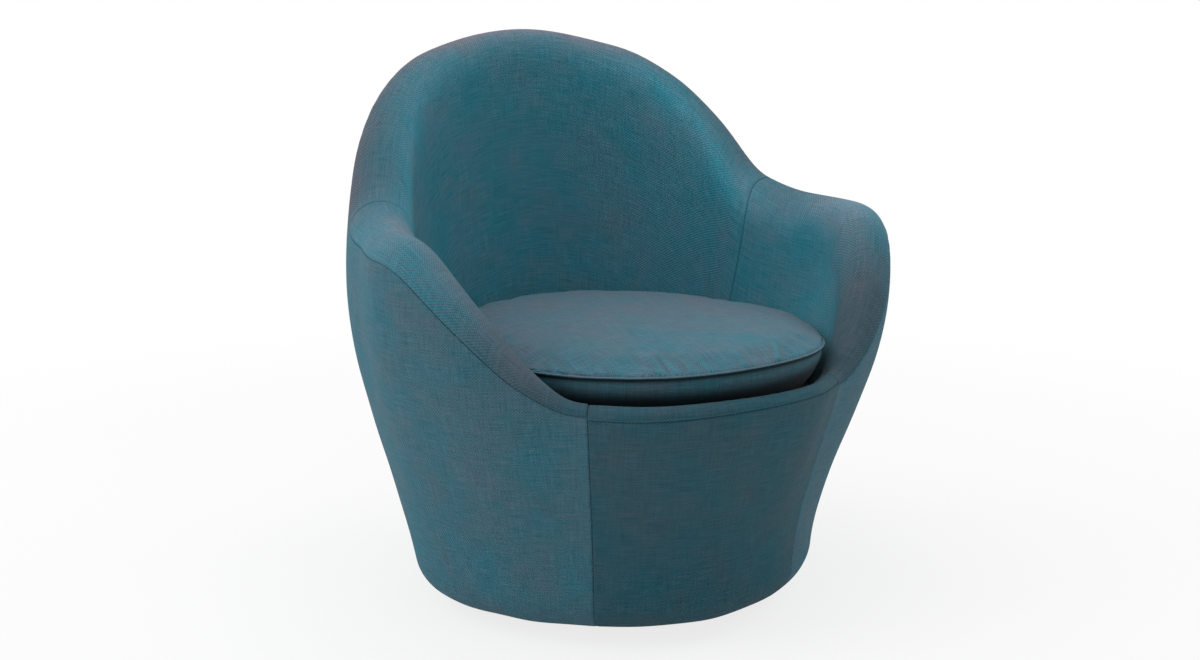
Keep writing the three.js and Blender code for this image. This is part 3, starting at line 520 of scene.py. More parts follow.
def new_material(name):
    """An empty node material and its Principled shader."""
    material = bpy.data.materials.new(name)
    material.use_nodes = True
    tree = material.node_tree
    tree.nodes.clear()
    shader = add_node(tree, "ShaderNodeBsdfPrincipled")
    output = add_node(tree, "ShaderNodeOutputMaterial")
    tree.links.new(shader.outputs[0], output.inputs[0])
    return material, tree, shader


def drawn_noise(tree, place, scale, detail):
    """A pattern of noise, drawn out by a different scale along each direction of the place."""
    drawn = add_node(tree, "ShaderNodeMapping", i0=place, Scale=scale).outputs[0]
    sizes = {"Scale": 1.0, "Detail": detail, "Roughness": 0.6}
    return add_node(tree, "ShaderNodeTexNoise", Vector=drawn, **sizes).outputs[0]


def shot_twill(name, finish, weft_share):
    """Two-tone wool-blend cloth: blue-green warp over plum-grey weft, left matt. The eye sees
    fine light dots where the warp floats, slubs along the threads, more of the weft where the
    cloth bends over a rim, and a soft plum bloom at low angles. Threads are drawn 2 mm apart,
    about three times the real spacing, which would be too fine to show."""
    material, tree, shader = new_material(name)
    flat = add_node(tree, "ShaderNodeUVMap", {"uv_map": "cloth"}).outputs[0]
    parts = add_node(tree, "ShaderNodeSeparateXYZ", i0=flat).outputs
    threads = []
    for part in (parts[0], parts[1]):
        turn = add_node(tree, MATH, TIMES, i0=part, i1=math.pi / finish.thread).outputs[0]
        threads.append(add_node(tree, MATH, {"operation": "SINE"}, i0=turn).outputs[0])
    float_dots = add_node(tree, MATH, TIMES, i0=threads[0], i1=threads[1]).outputs[0]
    bend, tone_and_painted_light = (
        add_node(tree, "ShaderNodeAttribute", {"attribute_name": label}).outputs["Fac"]
        for label in ("weft", "tone")
    )
    # Slubs are thin streaks some 40 mm long and 2 mm wide, and clouds are about 90 mm across
    weft_streak, warp_streak, cloud = (
        drawn_noise(tree, flat, scale, 2.0)
        for scale in ((26.0, 520.0, 1.0), (520.0, 26.0, 1.0), (11.0, 11.0, 1.0))
    )
    # The weft's share, less what the noise adds on average
    streaky, cloudy = 0.6, 0.65
    share = weft_share - (streaky + cloudy) / 2
    weights = ((float_dots, -0.16), (bend, 0.55), (weft_streak, streaky), (cloud, cloudy))
    for value, weight in weights:
        share = add_node(tree, MATH, TIMES_PLUS, i0=value, i1=weight, i2=share).outputs[0]
    share = add_node(tree, "ShaderNodeClamp", i0=share).outputs[0]
    shades = {"i6": linear(finish.warp), "i7": linear(finish.weft)}
    colour = add_node(tree, "ShaderNodeMix", PLAIN_MIX, i0=share, **shades).outputs[2]
    tone = 0.3
    for value, weight in ((weft_streak, 0.7), (warp_streak, 0.7), (float_dots, finish.contrast)):
        tone = add_node(tree, MATH, TIMES_PLUS, i0=value, i1=weight, i2=tone).outputs[0]
    # The tone attribute: each panel's own tone, with painted highlights and painted shade laid on
    # by the inner panels, the cushion and the welt
    tone = add_node(tree, MATH, TIMES, i0=tone, i1=tone_and_painted_light).outputs[0]
    grey = add_node(tree, "ShaderNodeCombineColor", i0=tone, i1=tone, i2=tone).outputs[0]
    darken = {**PLAIN_MIX, "blend_type": "MULTIPLY"}
    toned = add_node(tree, "ShaderNodeMix", darken, i0=1.0, i6=colour, i7=grey).outputs[2]
    # Relief: the floats stand up, and slubs thicken the threads
    relief = add_node(tree, MATH, TIMES_PLUS, i0=weft_streak, i1=1.2, i2=float_dots).outputs[0]
    bump = add_node(tree, "ShaderNodeBump", Strength=0.5, Distance=0.0005, Height=relief)
    tree.links.new(toned, shader.inputs["Base Color"])
    tree.links.new(bump.outputs[0], shader.inputs["Normal"])
    shader.inputs["Roughness"].default_value = 0.9
    shader.inputs["Specular IOR Level"].default_value = 0.15
    shader.inputs["Sheen Weight"].default_value = finish.bloom
    shader.inputs["Sheen Roughness"].default_value = 0.4
    shader.inputs["Sheen Tint"].default_value = linear(finish.glow)
    return material


def seen_directly(tree):
    """1 for rays from the camera, or from gloss and clear parts that mirror the studio, else 0."""
    path = add_node(tree, "ShaderNodeLightPath").outputs
    seen = path["Is Camera Ray"]
    for ray in ("Is Glossy Ray", "Is Transmission Ray"):
        seen = add_node(tree, MATH, {"operation": "MAXIMUM"}, i0=seen, i1=path[ray]).outputs[0]
    return seen


def plain_solid(name, low, high, roughness, grain, metallic=0.0, bump=0.0):
    """A solid colour that wanders between two shades in grains of the given sizes, in metres. Its
    roughness wanders with it, by a tenth either way."""
    material, tree, shader = new_material(name)
    place = add_node(tree, "ShaderNodeTexCoord").outputs["Object"]
    noise = drawn_noise(tree, place, tuple(1 / size for size in grain), 4.0)
    shades = {"i6": linear(low), "i7": linear(high)}
    colour = add_node(tree, "ShaderNodeMix", PLAIN_MIX, i0=noise, **shades).outputs[2]
    tree.links.new(colour, shader.inputs["Base Color"])
    limits = {"i1": 0.3, "i2": 0.7, "i3": roughness * 0.9, "i4": min(roughness * 1.1, 1)}
    rough = add_node(tree, "ShaderNodeMapRange", i0=noise, **limits).outputs[0]
    tree.links.new(rough, shader.inputs["Roughness"])
    shader.inputs["Metallic"].default_value = metallic
    if bump:
        relief = add_node(tree, "ShaderNodeBump", Strength=0.4, Distance=bump, Height=noise)
        tree.links.new(relief.outputs[0], shader.inputs["Normal"])
    return material


def upholstery_foam():
    """Open-cell upholstery foam, cut from a block: cream, dull and pitted with 1 mm cells."""
    return plain_solid("upholstery foam", "#cbbf94", "#e2d9b6", 0.95, (0.001,) * 3, bump=0.0004)


def lining_cloth():
    """Black spun lining cloth, calendered: a dull near-black with a faint fibrous mottle."""
    return plain_solid("black lining cloth", "#141517", "#222326", 0.9, (0.002,) * 3, bump=0.0002)


def birch_plywood():
    """Birch plywood, sanded and left bare: pale, with grain 1.5 mm wide and 30 mm long."""
    grain = (0.0015, 0.03, 0.03)
    return plain_solid("birch plywood", "#b98f5c", "#d3b183", 0.65, grain, bump=0.0001)


def painted_board():
    """Fibreboard, rolled with black paint: an even satin black with 3 mm of orange peel."""
    return plain_solid("black painted board", "#17181a", "#202123", 0.5, (0.003,) * 3, bump=0.0001)


def zinc_plate():
    """Pressed steel, zinc plated: a cool grey shine, clouded in patches of some 8 mm."""
    return plain_solid("zinc-plated steel", "#a9adb2", "#c3c7cb", 0.34, (0.008,) * 3, metallic=1.0)


def bearing_steel():
    """Ground bearing steel: bright and smooth, with faint turning marks about 1 mm apart."""
    marks = (0.02, 0.02, 0.001)
    return plain_solid("ground bearing steel", "#c6c9cd", "#d6d9dc", 0.2, marks, metallic=1.0)


def rubber_web():
    """Woven elastic webbing: grey-brown ribs along the strap, about 2 mm apart."""
    ribs = (0.002, 0.03, 0.002)
    return plain_solid("elastic webbing", "#6f675c", "#938a7d", 0.85, ribs, bump=0.0004)


def wool_felt():
    """Pressed wool felt: dark grey, with a soft fibrous surface of 1 mm tufts."""
    return plain_solid("pressed wool felt", "#2e2e30", "#444447", 0.95, (0.001,) * 3, bump=0.0004)


# ---------------------------------------------------------------- upholstered panels

GATHER_PITCH = 0.021  # along the seam
GATHER_REACH = 0.022  # inwards from it
EASE = 0.002  # gathers and lips start this far from a seam's bottom
LIP_HEIGHT, LIP_WIDTH = 0.0004, 0.009  # of an inner panel's lower edge, over the turned-in cloth
SWAY_EDGE = 0.03  # the padding is even within about this distance of a seam
HEM_FADE = 0.012  # over the hem, seams deepen from a seventh of their depth in about this height

# Patches of painted highlight and painted shade on the inner cloth. Each gives how much lighter
# or darker they are, then the middle, spread and power of a bell over the place, and of one over
# the angle. The patches for both sides lie at that angle on either side of the front, and the
# others only at it.
ON_RIM = (0.3, 0.4, 2)
PAINTED_LIGHT_BOTH_SIDES = [
    (-0.16, (0.75, 0.3, 4), (54, 18, 2)),
    (-0.24, (0.35, 0.3, 2), (124, 32, 2)),
    (0.4, (0.9, 0.22, 2), (124, 32, 2)),
]
PAINTED_LIGHT_ONE_SIDE = [
    (0.58, ON_RIM, (77, 9, 2)),
    (0.1, ON_RIM, (-64, 12, 2)),
    (-0.17, (0.5, 0.4, 4), (97, 9, 2)),
    (-0.08, ON_RIM, (-155, 18, 2)),
    (-0.07, ON_RIM, (66, 20, 4)),
]
# The same for how much more or less of the weft shows
WEFT_ONE_SIDE = [
    (0.2, ON_RIM, (77, 9, 2)),
    (-0.08, ON_RIM, (62, 14, 2)),
    (0.15, (1.65, 0.3, 2), (150, 25, 2)),
]


def upholstered_panel(name, tub, front, back, edges, weft, tone, materials, seed):
    """Lays seams, puckers and unevenness on a panel's front grid along its normal, and closes it
    with the back grid. Beside each seam the face drops by depth times exp(-(d/width)^2), d being
    the distance to the edge, and gathers ride on exp(-d/22 mm). An inner panel's lower edge
    stands up over the turned-in cloth, by 0.4 mm falling to nothing as exp(-(d/9 mm)^4)."""
    across, up = run_length(front, 0), run_length(front, 1)
    over_hem = np.maximum(front[..., 2] - front[..., 2].min(), 0)
    drawn = 1 - 0.85 * np.exp(-over_hem / HEM_FADE) * ("high" in edges)
    u = (across - across[-1:] / 2)[:, front.shape[1] // 2][:, None] + 0 * up
    away = {"first": across, "last": across[-1:, :] - across, "low": up, "high": up[:, -1:] - up}
    dip = np.zeros(up.shape)
    for k, side in enumerate(edges):
        d = away[side]
        along = up if side in ("first", "last") else u
        dip = np.maximum(dip, drawn * tub.seam_depth * bell(d, 0, tub.seam_width))
        fade = np.exp(-d / GATHER_REACH) * (1 - np.exp(-d / EASE))
        dip = dip - tub.pucker * gathers(along, seed + k, GATHER_PITCH) * fade
    if "low" in edges:
        dip = dip - LIP_HEIGHT * bell(up, 0, LIP_WIDTH, 4) * (1 - np.exp(-up / EASE))
    nearest = np.minimum.reduce([away[side] for side in edges])
    sway = waves(u, front[..., 2], seed=7, count=14, shortest=0.09, longest=0.4)
    sway = sway * tub.sway * (1 - np.exp(-nearest / SWAY_EDGE))
    outward = normals_of(front)
    if np.einsum("ijk,ijk->ij", outward, front - back).mean() < 0:
        outward = -outward
    shaped = front + outward * (sway - dip)[..., None]
    points, faces, slots = walled(shaped, back)
    flat = np.stack([u, up], axis=-1).reshape(-1, 2)
    values = {"weft": np.tile(weft.ravel(), 2), "tone": np.tile((tone + 0 * up).ravel(), 2)}
    return new_piece(name, points, faces, materials, slots, np.concatenate([flat, flat]), values)


def panel_angles(tub, low, high):
    """Angles across a panel, from seam to seam less half a gap, and closer together beside them."""
    gap = math.degrees(HALF_GAP / (tub.rim_reach - tub.roll_radius))
    return spaced(low + gap, high - gap, step=0.8, fine=0.12, stretch=4.0)[:, None]


def outer_grids(tub, low, high):
    """Front and back grids of an outer panel between two angles, and how much weft shows: more
    round the hem, and less below the middle of the wall, on the left side and on the front
    panel."""
    degrees = panel_angles(tub, low, high)
    section = section_at(tub, degrees)
    section["lift"] = seam_lift(tub, section, degrees, low < 0)
    place = np.concatenate(
        [
            np.linspace(0, 1, 5)[:-1],
            1 + np.linspace(0, 1, 15)[:-1],
            2 + spaced(0, 1, 0.0125, 0.0125)[:-6],
            3 - np.array([0.055, 0.044, 0.034, 0.026, 0.019, 0.013, 0.008, 0.004, 0]),
            3 + np.linspace(0, 0.995, 8)[1:],
        ]
    )[None, :]
    r, z = hem_and_wall(tub, section, place, 0.0)
    rb, zb = hem_and_wall(tub, section, place, tub.wall_depth)
    weft = 0.02 * bell(place, 1.4, 0.5) - 0.1 * bell(place, 2, 0.3)
    weft = weft - 0.15 * bell(degrees, 262, 18) - 0.08 * (np.abs(degrees) < 34)
    return swept(r, degrees, z), swept(rb, degrees, zb), weft


def inner_finish(section, place, degrees):
    """How much weft shows on an inner panel, and how light the cloth looks. More of the weft
    shows where the cloth bends over the rim. The cloth is darker over the front rail than round
    the arms and back, and darker round the outside of the back's rim. Painted highlights lie
    inside the arms' rolls, on the arms' corners, the back's rim top and inside the back's rim,
    and painted shade on the arms' slopes and fronts, the right arm's top and the back's rim
    towards its sides. A painted highlight along the outer seam's edge, as far as 80 degrees,
    stands for the light that it catches."""
    signed = signed_angle(degrees)
    ring = np.abs(signed)
    bend, slope, crest = bell(place, *ON_RIM), bell(ring, 48, 14), np.clip((ring - 130) / 30, 0, 1)
    outside = bell(place, 0, 0.32) * np.clip((ring - 104) / 8, 0, 1)
    outside = outside * (1 - 0.7 * np.clip((ring - 128) / 40, 0, 1))
    within = bell(place, 0.7, 0.3, 4) * bell(ring, 76, 30, 4)
    weft = bend * (0.2 + 0.45 * slope + 1.2 * crest) + 0.9 * outside + 0.45 * within
    # Rail darker than arms and back, outside of the back's rim darker; painted shade on the arms'
    # slopes and the right arm's front, painted highlights inside the arms' rolls, on the back's rim
    # top and along the outer seam's edge
    tone = (0.64 + 0.56 * smooth_step(ring, 26, 76)) * (1 - 0.3 * outside) * (1 - 0.08 * slope)
    tone = tone * (1 + 0.1 * within) * (1 + 0.1 * bend * crest)
    tone = tone * (1 - 0.15 * bell(signed, 52, 17) * (place < 1.2))
    tone = tone * (1 + 0.25 * bell(place * np.pi * section["roll"], 0, 0.002) * (ring < 80))
    # Painted highlights and painted shade from the patches above
    for patches, angle in ((PAINTED_LIGHT_BOTH_SIDES, ring), (PAINTED_LIGHT_ONE_SIDE, signed)):
        for lighter, along, around in patches:
            tone = tone * (1 + lighter * bell(place, *along) * bell(angle, *around))
    for more, along, around in WEFT_ONE_SIDE:
        weft = weft + more * bell(place, *along) * bell(signed, *around)
    return weft, tone


def inner_grids(tub, low, high):
    """Front and back grids of an inner panel, with how much weft shows and how light the cloth
    looks. Its slanted seam shifts the angle by up to 5 degrees down the inner wall, fading over
    16 degrees from the arm seam at 108. The foam behind grows from the room left for the hoop to
    the pad's depth."""
    degrees = panel_angles(tub, low, high)
    place = np.concatenate(
        [
            np.array([0.001, 0.006, 0.013, 0.022, 0.032, 0.044, 0.06, 0.08, 0.1]),
            spaced(0.13, 1, 0.03),
            1 + np.linspace(0, 1, 64)[1:],
        ]
    )[None, :]
    down = np.clip(place - 1, 0, 1)
    signed = signed_angle(degrees)
    near = np.maximum(0, 1 - np.abs(np.abs(signed) - 108) / 16)
    slanted = degrees + np.where(signed < 0, -1, 1) * 5 * near * down
    section = section_at(tub, slanted)
    section["lift"] = seam_lift(tub, section, slanted, low < 0)
    r, z = rim_and_inside(section, place, 0.0)
    drop = section["roll_z"] - SEAT_DECK
    bend = np.where(place < 1, (1 - place) * np.pi * section["roll"], (place - 1) * drop)
    r, z = eased(r, z, bend, 0.02)
    grown = np.maximum(down - HOOP_ROOM / drop, 0) / np.maximum(1 - HOOP_ROOM / drop, 0.5)
    at_hoop = section["roll"] - HOOP_ROOM
    rb, zb = rim_and_inside(section, place, at_hoop + (section["pad"] - at_hoop) * grown)
    lift = HAIR * (down == 1)
    weft, tone = inner_finish(section, place, slanted)
    return swept(r, slanted, z + lift), swept(rb, slanted, zb + lift), weft, tone


# ---------------------------------------------------------------- the cushion

CUSHION_FLOOR = DECK_TOP + HAIR
ROLL_WIDTH = 0.03  # of the top's rolled edge, as a share of its radius
GROOVE_WIDTH = 0.0024  # from the seam down to the groove's bottom
MOST_MOVE = 0.006  # that the filling may give any point
STEPS = 18  # of the cloth simulation
# Where the cushion's seam lies higher or lower than its side height, as it was dropped in: by how
# much, then the middle, spread and power of a bell over the angle
SEAM_RISES = [(0.007, 12, 26, 2), (-0.0025, -46, 18, 2), (-0.005, 58, 20, 2), (-0.005, 125, 40, 4)]


def cushion_rings(tub, cushion, degrees):
    """Radii of the cushion's foot and seam at each angle, in the tub's frame. Both follow the well,
    more smoothly than its wall does."""
    section = section_at(tub, np.arange(0, 360, 0.5))
    foot = softened(section["roll_r"] - section["roll"] - section["lean"], 4.0) - cushion.clear
    seam = softened(foot + cushion.overhang * section["overhang"], 7.0)
    return at_angle(foot, degrees), at_angle(seam, degrees)


def hump(way):
    """A hump that rises to 1 at a way of 1 and dies out slowly: way times exp(1 - way)."""
    return way * np.exp(1 - way)


def disc_grid(side):
    """A square grid of places drawn out to a disc: x and y become x sqrt(1 - y^2/2) and
    y sqrt(1 - x^2/2). Returns the radius from 0 to 1 and the angle round the tub in degrees."""
    x, y = np.meshgrid(side, side, indexing="ij")
    u = x * np.sqrt(1 - y * y / 2)
    v = y * np.sqrt(1 - x * x / 2)
    return np.clip(np.hypot(u, v), 0, 1), np.degrees(np.arctan2(u, -v))


def seam_rise(degrees):
    """How much above its side height the cushion's seam lies, a sum of bells over the angle."""
    return sum(rise * bell(degrees, *around) for rise, *around in SEAM_RISES)


def tuck_at(cushion, degrees):
    """How far the boxing's foot lies inside the well's outline: 16 mm more at the right front, in a
    bell of 32 degrees round 62."""
    return cushion.tuck + 0.016 * bell(degrees, 62, 32)


def square_ring(count):
    """The numbers of a square grid's edge points, in order round it."""
    n = np.arange(count * count).reshape(count, count)
    return np.concatenate([n[:-1, 0], n[-1, :-1], n[:0:-1, -1], n[0, :0:-1]])


def cushion_shape(tub, cushion):
    """The sewn cover before it is filled: a top and a bottom disc, and a boxing between them.
    The top rises as (1 - q^3)^(1/2.2), q being the share of its radius, and its edge rolls out
    over the seam by d exp(1 - d), d being the way in from the seam over 3 per cent of the
    radius. The boxing curves in from the seam to the foot: with v the share of its height that
    lies above a point, it keeps (1 - v^1.8)^(1/1.5) of its overhang. A groove of the same form
    as the roll runs just under the seam. The seam's rise fades over the top as the cube of the
    share, and the edge rolls out 60 per cent further in a bell of 18 degrees round 68. Returns
    points, quads, each corner's flat position, the seam's points in order, the points that the
    filling doesn't move and the number of the top's."""
    side = spaced(-1, 1, step=0.03, fine=0.01, stretch=0.3)
    count = len(side)
    share, degrees = disc_grid(side)
    foot, seam = cushion_rings(tub, cushion, degrees)
    height = cushion.side + seam_rise(degrees) * share**3
    top_z = CUSHION_FLOOR + height + cushion.crown * (1 - share**3) ** (1 / 2.2)
    roll = cushion.roll * (1 + 0.6 * bell(degrees, 68, 18))
    top = swept(seam * share + roll * hump((1 - share) / ROLL_WIDTH), degrees, top_z)
    ring = square_ring(count)
    ring_degrees = degrees.ravel()[ring][:, None]
    height = cushion.side + seam_rise(ring_degrees)
    foot_ring, seam_ring = cushion_rings(tub, cushion, ring_degrees)
    turn = spaced(0, 1, step=0.08, fine=0.015, stretch=0.25)[1:][None, :] * np.pi / 2
    down = np.sin(turn) ** 1.1
    foot_ring = foot_ring - tuck_at(cushion, ring_degrees)
    side_r = foot_ring + (seam_ring - foot_ring) * (1 - down**1.8) ** (1 / 1.5)
    side_r = side_r - cushion.groove * hump(down * height / GROOVE_WIDTH)
    band = swept(side_r, ring_degrees, CUSHION_FLOOR + height * (1 - down))
    inner = share.ravel() < 0.999999
    low_r = (foot - tuck_at(cushion, degrees)) * share
    low = swept(low_r, degrees, CUSHION_FLOOR).reshape(-1, 3)
    tops, rows, columns = count * count, *band.shape[:2]
    points = np.concatenate([top.reshape(-1, 3), band.reshape(-1, 3), low[inner]])
    faces_top = grid_faces(count, count)
    number = np.arange(rows * columns).reshape(rows, columns) + tops
    strip = np.concatenate([ring[:, None], number], axis=1)
    ahead = np.roll(strip, -1, axis=0)
    faces_band = np.stack([strip[:, :-1], strip[:, 1:], ahead[:, 1:], ahead[:, :-1]], axis=-1)
    low_number = np.full(tops, -1)
    low_number[ring] = number[:, -1]
    low_number[inner] = np.arange(inner.sum()) + tops + rows * columns
    faces = np.concatenate([faces_top, faces_band.reshape(-1, 4), low_number[faces_top][:, ::-1]])
    # Flat positions: the discs as they lie, the boxing unrolled
    sides = points[strip]
    around = np.linalg.norm(sides[:, 0] - np.roll(sides[:, 0], -1, axis=0), axis=-1)
    around = np.concatenate([[0], np.cumsum(around)])
    height = -run_length(sides, 1)
    near = np.stack([around[:-1, None] + 0 * height, height], axis=-1)
    far = np.stack([around[1:, None] + 0 * height, np.roll(height, -1, axis=0)], axis=-1)
    flat_band = np.stack([near[:, :-1], near[:, 1:], far[:, 1:], far[:, :-1]], axis=2)
    flat_top = top.reshape(-1, 3)[faces_top][..., :2]
    flat_low = low[faces_top][:, ::-1, :2]
    flat = np.concatenate([flat_top, flat_band.reshape(-1, 4, 2), flat_low])
    if np.cross(top[1, 0] - top[0, 0], top[0, 1] - top[0, 0])[2] < 0:
        faces, flat = faces[:, ::-1], flat[:, ::-1]
    held = np.concatenate([number[:, -1], np.arange(inner.sum()) + tops + rows * columns])
    return points, faces, flat, ring, held, tops


def places_of(mesh):
    """A mesh's points as an array."""
    places = np.zeros(len(mesh.vertices) * 3, np.float32)
    mesh.vertices.foreach_get("co", places)
    return places.reshape(-1, 3)


def put_places(mesh, places):
    """Moves a mesh's points."""
    mesh.vertices.foreach_set("co", places.astype(np.float32).ravel())
    mesh.update()


def swollen(piece, ring, held, tops, cushion):
    """Blows the sewn cover up with cloth simulation and keeps the result. The top is cut a little
    larger than the seam that it is sewn to, so it gathers there. No point moves further than the
    most that is allowed."""
    mesh, scene = piece.data, bpy.context.scene
    start = places_of(mesh)
    pins = piece.vertex_groups.new(name="sewn")
    pins.add(held.tolist(), 1.0, "REPLACE")
    pins.add(ring.tolist(), 0.7, "REPLACE")
    piece.shape_key_add(name="Basis")
    cut = piece.shape_key_add(name="cut")
    larger = start.copy()
    middle = start[:tops].mean(axis=0)
    larger[:tops, :2] = middle[:2] + (start[:tops, :2] - middle[:2]) * (1 + cushion.fullness)
    cut.data.foreach_set("co", larger.ravel())
    cloth = piece.modifiers.new("cloth", "CLOTH")
    fabric = {
        "quality": 5,
        "mass": 0.25,
        "tension_stiffness": 18,
        "compression_stiffness": 10,
        "shear_stiffness": 5,
        "bending_stiffness": 0.08,
        "air_damping": 2.0,
        "use_pressure": True,
        "uniform_pressure_force": 4.0,
        "vertex_group_mass": "sewn",
        "pin_stiffness": 1.0,
        "rest_shape_key": cut,
    }
    for name, value in fabric.items():
        setattr(cloth.settings, name, value)
    cloth.settings.effector_weights.gravity = 0.0
    cloth.collision_settings.use_collision = False
    cloth.point_cache.frame_start, cloth.point_cache.frame_end = 1, STEPS
    for step in range(1, STEPS + 1):
        scene.frame_set(step)
    end = places_of(piece.evaluated_get(bpy.context.evaluated_depsgraph_get()).to_mesh())
    piece.to_mesh_clear()
    piece.modifiers.remove(cloth)
    piece.shape_key_clear()
    piece.vertex_groups.clear()
    scene.frame_set(1)
    move = end - start
    far = np.linalg.norm(move, axis=1, keepdims=True)
    move *= np.minimum(1, MOST_MOVE / np.maximum(far, 1e-9))
    put_places(mesh, start + move)


def subdivided(cover, name):
    """A copy of a piece, smoothed by one subdivision. The piece itself is taken away."""
    smooth = cover.modifiers.new("smooth", "SUBSURF")
    smooth.levels = smooth.render_levels = 1
    shown = cover.evaluated_get(bpy.context.evaluated_depsgraph_get())
    mesh = bpy.data.meshes.new_from_object(shown)
    mesh.name = name
    piece = bpy.data.objects.new(name, mesh)
    bpy.context.scene.collection.objects.link(piece)
    bpy.data.objects.remove(cover)
    return piece


def eased_folds(tub, cushion, x, y):
    """Soft folds that run in from the front seam where the top is eased onto it: seeded ridges,
    each a narrow hump with a hollow on either side, (1 - q) exp(-q / 2) with q the squared
    distance from its middle line over its width. A fold rises over 5 mm from the seam and dies
    out over its length."""
    rng = np.random.default_rng(5)
    count = 60
    degrees = np.clip(rng.normal(-8, 34, count), -85, 85)
    slant = np.radians(degrees * 0.25 + rng.normal(0, 16, count))
    length = rng.uniform(0.012, 0.085, count)
    width = 0.0022 + 0.035 * length
    height = rng.uniform(-0.4, 1.0, count) * (0.0004 + 0.024 * length)
    root = swept(cushion_rings(tub, cushion, degrees)[1], degrees, 0.0)
    way = -np.radians(degrees) + np.pi / 2 + slant
    field = np.zeros(x.shape)
    for k in range(count):
        dx, dy = x - root[k, 0], y - root[k, 1]
        along = dx * math.cos(way[k]) + dy * math.sin(way[k])
        q = ((dy * math.cos(way[k]) - dx * math.sin(way[k])) / width[k]) ** 2
        rise = 1 - np.exp(-np.maximum(along, 0) / 0.005)
        field += height[k] * (1 - q) * np.exp(-q / 2) * rise * np.exp(-((along / length[k]) ** 2))
    return field


def tube_round(path, radius, sides=8):
    """A closed tube round a closed path: at each point a ring of the given radius in the plane of
    the path's outward side and the upright."""
    ahead = np.roll(path, -1, axis=0) - np.roll(path, 1, axis=0)
    ahead /= np.linalg.norm(ahead, axis=1, keepdims=True)
    up = np.array([0.0, 0.0, 1.0]) - ahead * ahead[:, 2:3]
    up /= np.linalg.norm(up, axis=1, keepdims=True)
    out = np.cross(ahead, up)
    angle = np.linspace(0, 2 * np.pi, sides, endpoint=False)[None, :, None]
    ring = np.cos(angle) * out[:, None, :] + np.sin(angle) * up[:, None, :]
    points = path[:, None, :] + radius * ring
    number = np.arange(len(path) * sides).reshape(-1, sides)
    ahead = np.roll(number, -1, axis=0)
    quads = [number, ahead, np.roll(ahead, -1, axis=1), np.roll(number, -1, axis=1)]
    return points.reshape(-1, 3), np.stack(quads, axis=-1).reshape(-1, 4)


# ---------------------------------------------------------------- operators


class TUB_OT_outer_panels(bpy.types.Operator):
    """Front, side and back panels of the outer wall, each with its padding"""

    bl_idname = "tub_chair.outer_panels"
    bl_label = "Outer panels"

    def execute(self, context):
        tub = context.scene.tub_settings
        cloth = shot_twill("shot twill, outer", context.scene.tub_finish, 0.37)
        materials, edges = [cloth, upholstery_foam()], ["first", "last", "high"]
        # Each panel's angles, its tone and the seed of its gathers
        spans = {
            "front": (-34, 34, 0.66, 11),
            "right_side": (34, 124, 1.0, 18),
            "left_side": (236, 326, 1.0, 25),
            "back": (124, 236, 1.0, 32),
        }
        for place, (low, high, tone, seed) in spans.items():
            front, back, weft = outer_grids(tub, low, high)
            name = f"{place}_panel"
            piece = upholstered_panel(name, tub, front, back, edges, weft, tone, materials, seed)
            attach(piece, "seat")
            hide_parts(f"{place}_cover", f"{place}_padding")
        return {"FINISHED"}


class TUB_OT_inner_panels(bpy.types.Operator):
    """Front rail, arms and inside back over the rolled rim, each with its foam"""

    bl_idname = "tub_chair.inner_panels"
    bl_label = "Inner panels"

    def execute(self, context):
        tub = context.scene.tub_settings
        cloth = shot_twill("shot twill, inner", context.scene.tub_finish, 0.2)
        materials = [cloth, bpy.data.materials["upholstery foam"]]
        edges = ["first", "last", "low"]
        # Each panel's angles and the seed of its gathers
        spans = {
            "front_rail": (-34, 34, 61),
            "right_arm": (34, 108, 68),
            "left_arm": (252, 326, 75),
            "inside_back": (108, 252, 82),
        }
        for place, (low, high, seed) in spans.items():
            front, back, weft, tone = inner_grids(tub, low, high)
            name = f"{place}_panel"
            piece = upholstered_panel(name, tub, front, back, edges, weft, tone, materials, seed)
            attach(piece, "seat")
            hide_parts(f"{place}_cover", f"{place}_foam")
        return {"FINISHED"}


